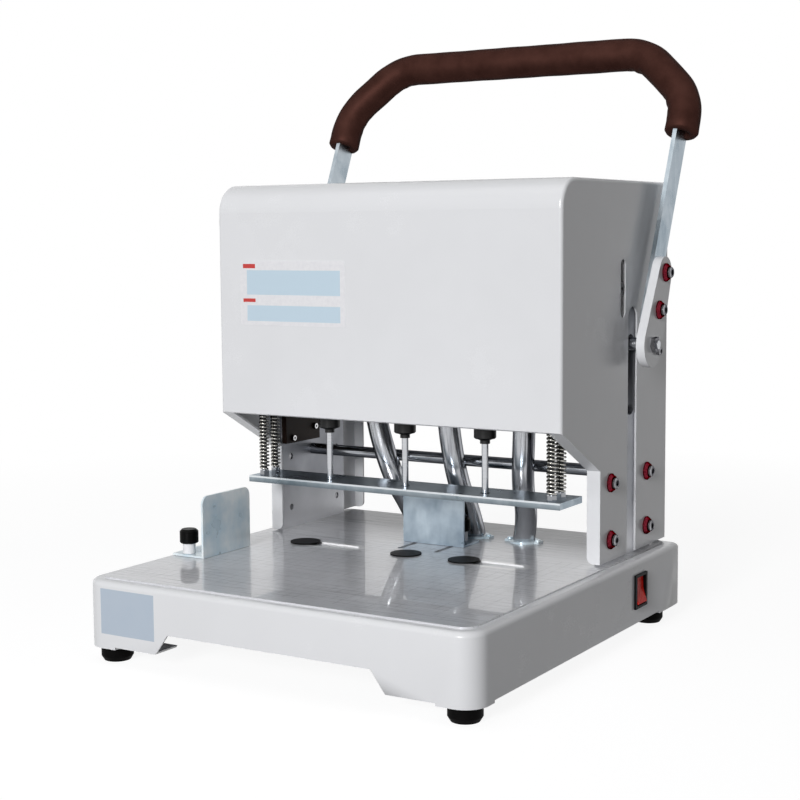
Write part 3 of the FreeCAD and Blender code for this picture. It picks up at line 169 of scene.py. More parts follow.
def makeCamera():
    data = bpy.data.cameras.new("studioCamera")
    data.sensor_width = studio["sensor"]
    data.lens = studio["lens"]
    data.shift_x, data.shift_y = studio["shift"]
    data.clip_start = studio["clip"]
    camera = bpy.data.objects.new("studioCamera", data)
    scene.collection.objects.link(camera)
    heading = Matrix.Rotation(math.radians(studio["turn"]), 4, "Z")
    tilt = Matrix.Rotation(math.radians(90 - studio["dip"]), 4, "X")
    roll = Matrix.Rotation(math.radians(studio["roll"]), 4, "Z")
    camera.matrix_world = Matrix.Translation(studio["place"]) @ heading @ tilt @ roll
    scene.camera = camera


def seenShare(graph):
    # 1 for what the camera, a mirror or glass shows, 0 for light that falls on things
    names = [f"Is {kind} Ray" for kind in ("Camera", "Glossy", "Transmission")]
    rays = [graph.add("ShaderNodeLightPath", out=name) for name in names]
    return (rays[0] + rays[1] + rays[2]).atMost(1.0)


def makeSky():
    world = bpy.data.worlds.new("studioSky")
    world.use_nodes = True
    graph = Graph(world.node_tree)
    strength = graph.ramp(seenShare(graph), studio["skyFill"], 1.0)
    glow = graph.add("ShaderNodeBackground", None, {"Color": (1, 1, 1, 1), "Strength": strength})
    graph.add("ShaderNodeOutputWorld", None, {"Surface": glow})
    scene.world = world


def makeFloor():
    half = studio["floorSize"] / 2
    corners = [(-half, -half, 0), (half, -half, 0), (half, half, 0), (-half, half, 0)]
    mesh = bpy.data.meshes.new("studioFloor")
    mesh.from_pydata(corners, [], [(0, 1, 2, 3)])
    floor = bpy.data.objects.new("studioFloor", mesh)
    scene.collection.objects.link(floor)
    finish = bpy.data.materials.new("paleFloor")
    finish.use_nodes = True
    graph = Graph(finish.node_tree)
    # near the object the floor takes its shadow, and farther out it is plain white
    seen = seenShare(graph)
    lit = graph.add("ShaderNodeBsdfDiffuse", None, {"Color": studio["floorColour"]})
    glow = graph.add("ShaderNodeEmission", None, {"Strength": seen * studio["floorGlow"]})
    near = graph.add("ShaderNodeAddShader", None, {0: lit, 1: glow})
    far = graph.add("ShaderNodeEmission", None, {"Strength": graph.ramp(seen, studio["skyFill"], 1.0)})
    reach = graph.add("ShaderNodeVectorMath", {"operation": "LENGTH"}, {0: graph.place()}, out="Value")
    share = graph.ramp(reach, 0.0, 1.0, studio["floorNear"], studio["floorFar"])
    whole = graph.add("ShaderNodeMixShader", None, {0: share, 1: near, 2: far})
    graph.add("ShaderNodeOutputMaterial", None, {"Surface": whole})
    mesh.materials.append(finish)


lamps = {
    "keyLamp": {"place": (0.6, -4.4, 1.5), "size": 1.4, "power": 157},
    "topLamp": {"place": (-0.4, -0.6, 2.6), "size": 1.8, "power": 8},
}
lampsAim = Vector((0, 0, 0.25))


def makeLamps():
    for name, lamp in lamps.items():
        data = bpy.data.lights.new(name, "AREA")
        data.shape = "SQUARE"
        data.size = lamp["size"]
        data.energy = lamp["power"]
        thing = bpy.data.objects.new(name, data)
        thing.location = lamp["place"]
        thing.rotation_euler = (lampsAim - thing.location).to_track_quat("-Z", "Y").to_euler()
        scene.collection.objects.link(thing)


makeCamera()
makeSky()
makeFloor()
makeLamps()
print("stage: camera, floor, sky and lamps are set")


# spans of a noise: all of it, its middle, and less of its middle
wholeSpan, midSpan, tightSpan = (0.0, 1.0), (0.3, 0.7), (0.35, 0.65)


def inSpan(along, span):
    return (along > span[0]) * (along < span[1])


# in the finishes' dictionaries a noise is its scale, its detail and its roughness, a bump is its strength
# and its depth, and a gloss of two numbers is the least and the most roughness
enamel = {
    "shades": (tint(235, 236, 239), tint(238, 239, 242)), "cloud": (9, 3, 0.6), "peel": (900, 2, 0.5),
    "speck": (2600, 1, 0.5), "speckOver": 0.74, "speckShare": 0.25, "speckColour": tint(206, 207, 211),
    "gloss": 0.24, "glossCloud": (-0.03, 0.05), "glossPeel": (-0.02, 0.02), "bump": (0.05, 0.0004),
    "sockets": {"Specular IOR Level": 0.35, "Coat Weight": 0.15, "Coat Roughness": 0.06},
}


def whiteEnamel(graph, place):
    cloud, peel, speck = [graph.texture(place, enamel[name]) for name in ("cloud", "peel", "speck")]
    colour = graph.shaded(cloud, enamel["shades"], tightSpan)
    colour = graph.mix((speck > enamel["speckOver"]) * enamel["speckShare"], colour, enamel["speckColour"])
    rough = enamel["gloss"] + graph.ramp(cloud, *enamel["glossCloud"], *midSpan)
    rough = rough + graph.ramp(peel, *enamel["glossPeel"], *wholeSpan)
    normal = graph.bump(peel, *enamel["bump"])
    return {**enamel["sockets"], "Base Color": colour, "Roughness": rough, "Normal": normal}


# the hood's inside is painted dark grey as painted shade, for the shade that falls inside the hood; the
# painted shade ends short of the hood's rounded bend
hoodInsideShade = {
    "half": 0.1765, "y": (-0.0505, 0.1752), "z": (0.2035, 0.4125), "insideShade": tint(112, 112, 115),
    "bendY": -0.026, "bendZ": 0.388, "bendInner": 0.025,
}


def hoodEnamel(graph, place):
    coat = whiteEnamel(graph, place)
    x, y, z = graph.axes(place, "XYZ")
    inside = (abs(x) < hoodInsideShade["half"]) * inSpan(y, hoodInsideShade["y"]) * inSpan(z, hoodInsideShade["z"])
    ahead = (hoodInsideShade["bendY"] - y).atLeast(0.0)
    above = (z - hoodInsideShade["bendZ"]).atLeast(0.0)
    inside = inside * ((ahead ** 2.0 + above ** 2.0) < hoodInsideShade["bendInner"] ** 2)
    # painted shade: the hood's inner faces take a dark grey in place of their white
    coat["Base Color"] = graph.mix(inside, coat["Base Color"], hoodInsideShade["insideShade"])
    return coat


# the base's front carries a thin printed plate, left bare
plate = {
    "x": (-0.174, -0.115), "z": (0.027, 0.0666), "front": -0.2295,
    "shades": (tint(188, 201, 216), tint(204, 213, 222)), "haze": (60, 3, 0.6), "hazeShare": (0.0, 0.12),
}


def baseEnamel(graph, place):
    coat = whiteEnamel(graph, place)
    x, y, z = graph.axes(place, "XYZ")
    inside = inSpan(x, plate["x"]) * inSpan(z, plate["z"]) * (y < plate["front"])
    haze = graph.ramp(graph.texture(place, plate["haze"]), *plate["hazeShare"], *tightSpan)
    coat["Base Color"] = graph.mix(inside, coat["Base Color"], graph.mix(haze, *plate["shades"]))
    return coat


table = {
    "shades": (tint(207, 208, 212), tint(225, 226, 230)), "grain": ((14, 900, 14), 4, 0.65),
    "cloud": (14, 3, 0.6), "grainShare": (0.0, 0.5), "cloudShare": (0.0, 0.5),
    "grid": 0.010, "lineHalf": 0.00038, "gridHalfWide": 0.165, "gridY": (-0.205, 0.03),
    "ink": tint(96, 98, 104), "wear": (60, 2, 0.5), "inkShare": (0.05, 0.5), "wearSpan": (0.4, 0.62),
    "rear": (0.03, 0.11), "rearShadeShare": 0.7, "rearShadeColour": tint(112, 112, 115),
    "slotY": -0.010, "slotX": (0.061, 0.1125), "slotReach": 0.0142, "strip": tint(250, 250, 251),
    "metal": 0.16, "gloss": 0.26, "glossGrain": (-0.02, 0.04), "glossCloud": (0.0, 0.03),
    "coat": 0.58, "coatLost": 0.5, "coatOnStrip": 0.4, "bump": (0.012, 0.00004),
    "sockets": {"Specular IOR Level": 0.12, "Coat Roughness": 0.025},
}


def lineMask(along):
    # 1 on thin lines that are a grid step apart
    step = table["grid"]
    return abs((along + step / 2) % step - step / 2) < table["lineHalf"]


def brushedSheet(graph, place):
    x, y = graph.axes(place, "XY")
    grain, cloud, wear = [graph.texture(place, table[name]) for name in ("grain", "cloud", "wear")]
    shade = graph.ramp(grain, *table["grainShare"], *midSpan)
    shade = shade + graph.ramp(cloud, *table["cloudShare"], *tightSpan)
    colour = graph.mix(shade, *table["shades"])
    field = (abs(x) < table["gridHalfWide"]) * inSpan(y, table["gridY"])
    worn = graph.ramp(wear, *table["inkShare"], *table["wearSpan"])
    colour = graph.mix(lineMask(x).atLeast(lineMask(y)) * field * worn, colour, table["ink"])
    # under the hood the sheet's colour is darkened as painted shade, standing in for shade and for the dark
    # reflection of the hood's inside, and its coat is thinner there
    paintedShade = graph.ramp(y, 0.0, 1.0, *table["rear"])
    colour = graph.mix(paintedShade * table["rearShadeShare"], colour, table["rearShadeColour"])
    # a white strip lies round each pad's slot
    near, far = table["slotX"]
    along = (near - abs(x)).atLeast(abs(x) - far).atLeast(0.0)
    strip = (along ** 2.0 + (y - table["slotY"]) ** 2.0) < table["slotReach"] ** 2
    rough = table["gloss"] + graph.ramp(grain, *table["glossGrain"], *midSpan)
    return {
        **table["sockets"], "Base Color": graph.mix(strip, colour, table["strip"]),
        "Metallic": table["metal"] - strip * table["metal"],
        "Roughness": rough + graph.ramp(cloud, *table["glossCloud"], *wholeSpan),
        "Coat Weight": table["coat"] - paintedShade * table["coatLost"] + strip * table["coatOnStrip"],
        "Normal": graph.bump(grain, *table["bump"]),
    }


zinc = {
    "arm": (tint(144, 157, 166), tint(188, 196, 202)), "plate": (tint(128, 142, 151), tint(172, 182, 189)),
    "cloud": (26, 4, 0.6), "warp": 0.8, "cloudSpan": (0.32, 0.68), "gloss": (0.23, 0.39),
    "streak": ((160, 160, 22), 3, 0.6), "streakShare": (0.0, 0.3), "streakSpan": (0.45, 0.75),
    "streakColour": tint(206, 213, 218), "edge": (0.75, 0.77, 0.8, 1.0), "bump": (0.03, 0.0002),
}


def zincCoat(graph, place, shades):
    cloud = graph.texture(place, zinc["cloud"], zinc["warp"])
    streak = graph.texture(place, zinc["streak"])
    colour = graph.shaded(cloud, shades, zinc["cloudSpan"])
    share = graph.ramp(streak, *zinc["streakShare"], *zinc["streakSpan"])
    return {
        "Base Color": graph.mix(share, colour, zinc["streakColour"]), "Metallic": 1.0,
        "Roughness": graph.ramp(cloud, *zinc["gloss"], *midSpan), "Specular Tint": zinc["edge"],
        "Normal": graph.bump(streak, *zinc["bump"]),
    }


def zincArm(graph, place):
    return zincCoat(graph, place, zinc["arm"])


# the press plate's front edge has a painted highlight along its top, standing in for the light caught by a
# rounded top edge, and painted shade below it, standing in for a dark reflection
press = {
    "front": -0.0272, "low": 0.1325, "high": 0.1375, "paintedShadeShare": 0.75, "paintedShade": tint(104, 113, 119),
    "highlightOver": 0.1364, "lightBand": tint(222, 227, 230),
}


def pressSteel(graph, place):
    coat = zincCoat(graph, place, zinc["plate"])
    y, z = graph.axes(place, "YZ")
    edge = y < press["front"]
    # painted shade on the lower part of the front edge
    paintedShade = graph.ramp(z, press["paintedShadeShare"], 0.0, press["low"], press["high"]) * edge
    colour = graph.mix(paintedShade, coat["Base Color"], press["paintedShade"])
    # painted highlight along the top of the front edge
    coat["Base Color"] = graph.mix((z > press["highlightOver"]) * edge, colour, press["lightBand"])
    return coat


# the guides' zinc is thinner and smoother than the plates'; the side guide's shades are lighter than the back
# gauge's, as painted light on its face, which lies out of the lamp's light
thinZinc = {
    "guide": (tint(202, 222, 233), tint(248, 254, 255)), "guideMetal": 0.3,
    "gauge": (tint(146, 164, 180), tint(202, 216, 226)), "gaugeMetal": 0.5,
    "cloud": (34, 3, 0.5), "cloudShare": (0.0, 0.85), "cloudSpan": (0.34, 0.64), "gloss": (0.24, 0.34),
    "fine": ((220, 220, 60), 2, 0.5), "fineShare": (0.0, 0.15), "bump": (0.02, 0.0002),
}


def thinZincCoat(graph, place, shades, metal):
    cloud, fine = [graph.texture(place, thinZinc[name]) for name in ("cloud", "fine")]
    shade = graph.ramp(cloud, *thinZinc["cloudShare"], *thinZinc["cloudSpan"])
    shade = shade + graph.ramp(fine, *thinZinc["fineShare"], *tightSpan)
    return {
        "Base Color": graph.mix(shade, *shades), "Metallic": metal, "Specular Tint": zinc["edge"],
        "Roughness": graph.ramp(cloud, *thinZinc["gloss"], *wholeSpan),
        "Normal": graph.bump(fine, *thinZinc["bump"]),
    }


# its lighter shades are painted light, for a face that lies in shade
def zincGuide(graph, place):
    return thinZincCoat(graph, place, thinZinc["guide"], thinZinc["guideMetal"])


def zincGauge(graph, place):
    return thinZincCoat(graph, place, thinZinc["gauge"], thinZinc["gaugeMetal"])


# finishes of two shades: the cloud, or else the grain, sets the shade, and the grain the gloss and bump;
# some of them are the ground of a recipe below
looks = {
    "groundSteel": {
        "grain": ((60, 60, 1800), 2, 0.6), "cloud": (40, 3, 0.6),
        "shades": (tint(150, 152, 156), tint(190, 192, 196)),
        "gloss": (0.15, 0.30), "bump": (0.05, 0.0002), "sockets": {"Metallic": 1.0},
    },
    "drillSteel": {
        "grain": ((60, 60, 1800), 2, 0.6), "shades": (tint(192, 194, 198), tint(206, 208, 212)),
        "gloss": (0.09, 0.18), "bump": (0.01, 0.0001),
        "sockets": {"Metallic": 1.0, "Specular Tint": (0.05, 0.05, 0.06, 1.0)},
    },
    "blackedSteel": {
        "grain": (700, 3, 0.6), "shades": (tint(16, 16, 17), tint(34, 34, 36)), "gloss": (0.29, 0.42),
        "bump": (0.05, 0.0002), "sockets": {"Specular IOR Level": 0.3},
    },
    "platedRod": {
        "grain": ((30, 700, 700), 3, 0.6), "cloud": (30, 3, 0.6),
        "shades": (tint(166, 169, 174), tint(192, 195, 200)), "gloss": (0.10, 0.22), "bump": (0.04, 0.0002),
        "sockets": {"Metallic": 1.0, "Specular Tint": (0.15, 0.15, 0.16, 1.0)},
    },
    "sidePlate": {
        "grain": ((200, 1200, 40), 3, 0.6), "cloud": (18, 3, 0.6),
        "shades": (tint(124, 126, 131), tint(158, 160, 166)), "gloss": (0.32, 0.46), "bump": (0.05, 0.0002),
        "sockets": {"Specular Tint": (0.7, 0.7, 0.72, 1.0)},
    },
    "brightScrew": {
        "grain": (420, 3, 0.6), "shades": (tint(122, 122, 125), tint(164, 164, 167)), "shadeSpan": tightSpan,
        "gloss": (0.05, 0.11), "glossSpan": midSpan, "bump": (0.05, 0.0002),
        "sockets": {"Metallic": 1.0, "Specular Tint": (0.08, 0.08, 0.09, 1.0)},
    },
    "redAnodised": {
        "grain": (700, 3, 0.6), "shades": (tint(82, 15, 27), tint(122, 38, 50)), "shadeSpan": tightSpan,
        "gloss": (0.1, 0.2), "glossSpan": midSpan, "bump": (0.04, 0.0002),
        "sockets": {"Metallic": 1.0, "Specular Tint": (0.2, 0.14, 0.15, 1.0)},
    },
    "motorPaint": {
        "grain": (800, 2, 0.5), "shades": (tint(34, 35, 38), tint(48, 49, 52)), "gloss": (0.37, 0.48),
        "bump": (0.1, 0.0004), "sockets": {},
    },
    "blackPlastic": {
        "grain": (1500, 3, 0.6), "cloud": (60, 2, 0.5), "shades": (tint(10, 10, 11), tint(20, 20, 22)),
        "gloss": (0.41, 0.53), "bump": (0.08, 0.0003), "sockets": {"Specular IOR Level": 0.06},
    },
    "rockerRed": {
        "grain": (240, 2, 0.5), "shades": (tint(214, 24, 18), tint(240, 62, 44)), "gloss": (0.22, 0.34),
        "glossSpan": midSpan, "bump": (0.03, 0.0003),
        # the rocker's faint emission is a painted glow, standing in for light through its red plastic
        "sockets": {
            "Specular IOR Level": 0.08, "Emission Color": tint(190, 20, 14), "Emission Strength": 0.1,
        },
    },
    "castAluminium": {
        "grain": (520, 4, 0.65), "cloud": (30, 3, 0.6), "shades": (tint(166, 166, 169), tint(196, 196, 199)),
        "gloss": (0.28, 0.42), "bump": (0.06, 0.0003),
        "sockets": {"Metallic": 0.8, "Specular Tint": (0.75, 0.75, 0.76, 1.0)},
    },
    "footRubber": {
        "grain": (900, 3, 0.6), "cloud": (70, 3, 0.6), "shades": (tint(6, 6, 6), tint(15, 14, 14)),
        "shadeSpan": (0.4, 0.8), "gloss": (0.50, 0.68), "bump": (0.12, 0.0004),
        "sockets": {"Specular IOR Level": 0.04},
    },
    "springWire": {
        "grain": (500, 2, 0.5), "shades": (tint(158, 156, 152), tint(204, 202, 196)), "gloss": (0.12, 0.24),
        "glossSpan": midSpan, "bump": (0.04, 0.0001),
        "sockets": {"Metallic": 1.0, "Specular Tint": (0.12, 0.12, 0.12, 1.0)},
    },
    "hose": {
        "grain": ((260, 260, 16), 3, 0.6), "shades": (tint(152, 154, 159), tint(198, 200, 204)),
        "gloss": (0.13, 0.25), "sockets": {"Specular Tint": (0.15, 0.15, 0.16, 1.0)},
    },
    "foam": {
        "grain": (45, 4, 0.6), "shades": (tint(58, 35, 30), tint(74, 47, 41)), "gloss": (0.51, 0.59),
        "glossSpan": midSpan,
        "sockets": {"Metallic": 0.5, "Specular IOR Level": 0.05, "Specular Tint": (0.1, 0.1, 0.1, 1.0)},
    },
    "film": {
        "grain": (300, 2, 0.5), "shades": (tint(243, 243, 246), tint(236, 236, 240)), "gloss": (0.28, 0.4),
        "glossSpan": midSpan, "bump": (0.03, 0.0002), "sockets": {},
    },
}


def plainCoat(graph, place, name):
    look = looks[name]
    grain = graph.texture(place, look["grain"])
    cloud = graph.texture(place, look["cloud"]) if "cloud" in look else grain
    coat = dict(look["sockets"])
    coat["Base Color"] = graph.shaded(cloud, look["shades"], look.get("shadeSpan", midSpan))
    coat["Roughness"] = graph.ramp(grain, *look["gloss"], *look.get("glossSpan", wholeSpan))
    if "bump" in look:
        coat["Normal"] = graph.bump(grain, *look["bump"])
    return coat


def plainFinish(name):
    return makeFinish(name, lambda graph, place: plainCoat(graph, place, name))


# the press rods are blacked, and the nuts that hold them are bright
rodNut = {"top": 0.1436, "steel": tint(150, 152, 156), "polish": 0.24}


def pressRod(graph, place):
    coat = plainCoat(graph, place, "blackedSteel")
    nut = graph.axes(place, "Z")[0] < rodNut["top"]
    coat["Base Color"] = graph.mix(nut, coat["Base Color"], rodNut["steel"])
    coat["Metallic"] = nut
    coat["Roughness"] = coat["Roughness"] - nut * rodNut["polish"]
    return coat


# the side plates are lighter near the table, and the walls of the stop's slot are painted white as painted
# light, where they lie in shade
sidePlate = {
    "lightBandLow": 0.080, "lightBandHigh": 0.120, "lightBandShare": 0.8, "lightBand": tint(218, 219, 223),
    "slotY": (0.0672, 0.0788), "slotZ": (0.2915, 0.3445), "paintedSlotLight": tint(240, 240, 242), "metal": 0.75,
}


def greyPlate(graph, place):
    coat = plainCoat(graph, place, "sidePlate")
    y, z = graph.axes(place, "YZ")
    lightBand = graph.ramp(z, sidePlate["lightBandShare"], 0.0, sidePlate["lightBandLow"], sidePlate["lightBandHigh"])
    colour = graph.mix(lightBand, coat["Base Color"], sidePlate["lightBand"])
    # painted light on the walls of the stop's slot
    slot = inSpan(y, sidePlate["slotY"]) * inSpan(z, sidePlate["slotZ"])
    coat["Base Color"] = graph.mix(slot, colour, sidePlate["paintedSlotLight"])
    coat["Metallic"] = sidePlate["metal"] - slot * sidePlate["metal"]
    return coat


# turned pieces, whose finish changes at a height
chuck = {
    "height": 0.210, "below": (tint(12, 12, 13), tint(24, 24, 25)),
    "above": (tint(150, 152, 156), tint(184, 186, 190)),
    "grain": (600, 3, 0.6), "gloss": (0.31, 0.44), "level": 0.3, "bump": (0.05, 0.0002),
}
knob = {
    "height": 0.08655, "below": (tint(244, 244, 246), tint(236, 236, 239)),
    "above": (tint(5, 5, 5), tint(16, 16, 16)),
    "grain": (1300, 3, 0.6), "gloss": (0.31, 0.42), "level": 0.05, "bump": (0.07, 0.0003),
}


def turnedCoat(graph, place, look):
    grain = graph.texture(place, look["grain"])
    below, above = [graph.shaded(grain, look[side], midSpan) for side in ("below", "above")]
    high = graph.axes(place, "Z")[0] > look["height"]
    coat = {
        "Base Color": graph.mix(high, below, above), "Specular IOR Level": look["level"],
        "Roughness": graph.ramp(grain, *look["gloss"], *wholeSpan),
        "Normal": graph.bump(grain, *look["bump"]),
    }
    return coat, high


def blackedSpindle(graph, place):
    coat, high = turnedCoat(graph, place, chuck)
    return {**coat, "Metallic": high}


def knobPlastic(graph, place):
    return turnedCoat(graph, place, knob)[0]


# the slide blocks are brown board with two screws inside, and pale outside; each screw head has a bright ring
# painted on as a painted highlight
board = {
    "weave": ((500, 90, 900), 3, 0.6), "shades": (tint(24, 14, 10), tint(44, 28, 20)),
    "face": 0.16395, "outer": 0.1696, "pale": tint(206, 206, 209),
    "screws": ((0.044, 0.166), (0.082, 0.174)), "screwRadius": 0.0034, "rim": (0.0013, 0.0027),
    "metal": (tint(46, 44, 43), tint(222, 222, 224)), "gloss": (0.42, 0.60), "polish": 0.25, "level": 0.15,
    "bump": (0.1, 0.0003),
}


def brownBoard(graph, place):
    x, y, z = graph.axes(place, "XYZ")
    weave = graph.texture(place, board["weave"])
    brown = graph.shaded(weave, board["shades"], midSpan)
    brown = graph.mix(abs(x) > board["outer"], brown, board["pale"])
    screw = 0.0
    paintedGlint = 0.0
    for screwY, screwZ in board["screws"]:
        reach = ((y - screwY) ** 2.0 + (z - screwZ) ** 2.0) ** 0.5
        screw = (reach < board["screwRadius"]) + screw
        # a painted highlight: a bright ring on each screw head
        paintedGlint = inSpan(reach, board["rim"]) + paintedGlint
    screw = (screw * (abs(x) < board["face"])).atMost(1.0)
    metal = graph.mix(paintedGlint.atMost(1.0), *board["metal"])
    rough = graph.ramp(weave, *board["gloss"], *wholeSpan)
    return {
        "Base Color": graph.mix(screw, brown, metal), "Metallic": screw, "Specular IOR Level": board["level"],
        "Roughness": rough - screw * board["polish"], "Normal": graph.bump(weave, *board["bump"]),
    }


foamCells = {"scale": 900.0, "bump": (0.08, 0.0003)}


def foamSkin(graph, place):
    coat = plainCoat(graph, place, "foam")
    cells = graph.add("ShaderNodeTexVoronoi", None, {"Vector": place, "Scale": foamCells["scale"]})
    coat["Normal"] = graph.bump(cells, *foamCells["bump"])
    return coat


# the hoses are dented, and the right one's lower end is painted bright, a painted reflection of the lit space
# in front of it
hoseSheen = {
    "x": 0.061, "low": 0.126, "high": 0.133, "bright": tint(214, 216, 220), "metalLost": 0.12,
    "dent": (90, 2, 0.5), "bump": (0.10, 0.0010),
}


def hoseSkin(graph, place):
    coat = plainCoat(graph, place, "hose")
    x, z = graph.axes(place, "XZ")
    # painted reflection: the right hose is brighter below the press plate
    bright = (x > hoseSheen["x"]) * graph.ramp(z, 1.0, 0.0, hoseSheen["low"], hoseSheen["high"])
    coat["Base Color"] = graph.mix(bright, coat["Base Color"], hoseSheen["bright"])
    coat["Metallic"] = 1.0 - bright * hoseSheen["metalLost"]
    coat["Normal"] = graph.bump(graph.texture(place, hoseSheen["dent"]), *hoseSheen["bump"])
    return coat


# the solids' finishes that have a recipe of their own; their others are plain looks
ownRecipes = {
    "whiteEnamel": whiteEnamel, "hoodEnamel": hoodEnamel, "brushedSheet": brushedSheet,
    "zincGuide": zincGuide, "zincGauge": zincGauge, "pressSteel": pressSteel, "pressRod": pressRod,
    "greyPlate": greyPlate, "blackedSpindle": blackedSpindle, "knobPlastic": knobPlastic,
    "brownBoard": brownBoard,
}
finishOf = {
    "whiteEnamel": ["lever_left", "lever_right"],
    "hoodEnamel": ["hood_cover", "hood_back"],
    "brushedSheet": ["table_plate"],
    "zincGuide": ["side_guide", "chip_sockets"],
    "zincGauge": ["back_gauge"],
    "pressSteel": ["press_plate"],
    "groundSteel": ["rack_left", "rack_right", "pinion_shaft", "guide_column_left", "guide_column_right"],
    "drillSteel": ["drill_left", "drill_centre", "drill_right"],
    "blackedSteel": ["depth_stop"],
    "pressRod": ["press_rods"],
    "platedRod": ["tie_rod"],
    "greyPlate": ["side_plate_left", "side_plate_right", "column_bridge", "chip_drawer"],
    "brightScrew": ["post_screws", "lever_screws", "shaft_nuts"],
    "redAnodised": ["post_washers", "lever_washers"],
    "blackedSpindle": ["spindle_left", "spindle_centre", "spindle_right"],
    "motorPaint": ["motor"],
    "blackPlastic": ["pad_left", "pad_centre", "pad_right", "switch_bezel", "power_inlet"],
    "knobPlastic": ["side_guide_knob", "back_gauge_knob_left", "back_gauge_knob_right"],
    "rockerRed": ["rocker"],
    "brownBoard": ["slide_blocks"],
    "castAluminium": ["head_frame", "motor_pulley", "chip_pipes"],
    "footRubber": ["rubber_feet", "belt_left", "belt_right", "belt_motor"],
}


def dressNodes():
    for look, names in finishOf.items():
        finish = makeFinish(look, ownRecipes[look]) if look in ownRecipes else plainFinish(look)
        for name in names:
            for slot in nodes[name].material_slots:
                slot.material = finish


dressNodes()
print("stage: every solid has its finish")


# points of a solid's mesh that are this near are one point
mergeWithin = 0.000002


def shapeOf(node):
    shape = bmesh.new()
    shape.from_mesh(nodes[node].data)
    bmesh.ops.remove_doubles(shape, verts=shape.verts, dist=mergeWithin)
    return shape


def meshOf(shape, name):
    mesh = bpy.data.meshes.new(name)
    shape.to_mesh(mesh)
    shape.free()
    return mesh


def extrude(shape, faces, vector):
    grown = bmesh.ops.extrude_face_region(shape, geom=faces)
    raised = [item for item in grown["geom"] if isinstance(item, bmesh.types.BMVert)]
    bmesh.ops.translate(shape, verts=raised, vec=vector)
    bmesh.ops.recalc_face_normals(shape, faces=shape.faces)


def newPiece(name, mesh, finish):
    piece = bpy.data.objects.new(name, mesh)
    scene.collection.objects.link(piece)
    mesh.materials.clear()
    mesh.materials.append(finish)
    return piece


def smoothAll(mesh):
    for face in mesh.polygons:
        face.use_smooth = True


# the base's sheet is folded, so its rear corners are sharper than the solid's
base = {"cornerX": 0.174, "cornerY": 0.156, "fold": 0.85, "smoothUnder": 32}


def makeBase():
    shape = shapeOf("base_cover")
    for vert in shape.verts:
        outX, outY = abs(vert.co.x) - base["cornerX"], vert.co.y - base["cornerY"]
        if outX > 0 and outY > 0:
            grow = 1 + base["fold"] * (math.hypot(outX, outY) / max(outX, outY) - 1)
            vert.co.x = math.copysign(base["cornerX"] + outX * grow, vert.co.x)
            vert.co.y = base["cornerY"] + outY * grow
    mesh = meshOf(shape, "baseSheet")
    smoothAll(mesh)
    mesh.set_sharp_from_angle(angle=math.radians(base["smoothUnder"]))
    piece = newPiece("baseSheet", mesh, makeFinish("baseEnamel", baseEnamel))
    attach(piece, "base")
    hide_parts("base_cover")


makeBase()
print("stage: base sheet")


# the foam sleeve follows the handle's bow, leaned back about the shaft; each ring of its ends has a share
# of the radius and a rise, and each wave of its lumps a phase for each ring and a count round it
foam = {
    "shaft": (0.095, 0.267), "lean": 23.66, "half": 0.1893, "low": 0.209, "high": 0.2972, "cut": 0.0502,
    "bend": 0.055, "bendAngle": 45, "radius": 0.016, "sides": 48,
    "legSteps": 8, "bendSteps": 14, "slopeSteps": 6, "runSteps": 44,
    "ends": ((0.40, 0.006), (0.46, 0.0006), (0.62, 0.0), (0.90, 0.0006), (1.0, 0.0028)),
    "lump": 0.00035, "lumpMiddle": 0.5, "lumpDepth": 0.25, "lumpWaves": ((0.9, 3), (0.37, -2)),
    "ripple": 0.0004, "ripplesInBend": 3,
}


def bowStations():
    # points along the bow's middle line, each with its direction and how far through a bend it is
    half, low, high, cut, bend = [foam[key] for key in ("half", "low", "high", "cut", "bend")]
    trim = bend * math.tan(math.radians(foam["bendAngle"] / 2))
    leg = (high - cut - low - trim, 0, foam["legSteps"])
    corner = (0, foam["bendAngle"], foam["bendSteps"])
    slope = (cut * math.sqrt(2) - 2 * trim, 0, foam["slopeSteps"])
    run = (2 * (half - cut - trim), 0, foam["runSteps"])
    # the heading is in degrees, and 90 is straight up
    x, z, heading = -half, low, 90.0
    stations = [((x, z), (0.0, 1.0), 0.0)]
    for length, turn, steps in (leg, corner, slope, corner, run, corner, slope, corner, leg):
        each = turn / steps
        stride = length / steps if length else 2 * bend * math.sin(math.radians(each / 2))
        for step in range(steps):
            heading -= each / 2
            x += stride * math.cos(math.radians(heading))
            z += stride * math.sin(math.radians(heading))
            heading -= each / 2
            way = (math.cos(math.radians(heading)), math.sin(math.radians(heading)))
            stations.append(((x, z), way, (step + 1) / steps if turn else 0.0))
    return stations


def leaned(x, off, up):
    shaftY, shaftZ = foam["shaft"]
    angle = math.radians(foam["lean"])
    return (
        x, shaftY + up * math.sin(angle) + off * math.cos(angle),
        shaftZ + up * math.cos(angle) - off * math.sin(angle),
    )


def softRadius(radius, index, angle, bent):
    # the sleeve's radius with its soft lumps, and with ripples on the inside of its bends
    wave = sum(math.sin(index * along + angle * around) for along, around in foam["lumpWaves"])
    radius -= foam["lump"] * (foam["lumpMiddle"] + foam["lumpDepth"] * wave)
    fold = math.sin(bent * math.pi) * max(0.0, -math.cos(angle)) ** 2
    return radius - foam["ripple"] * fold * (1 + math.cos(bent * 2 * math.pi * foam["ripplesInBend"]))


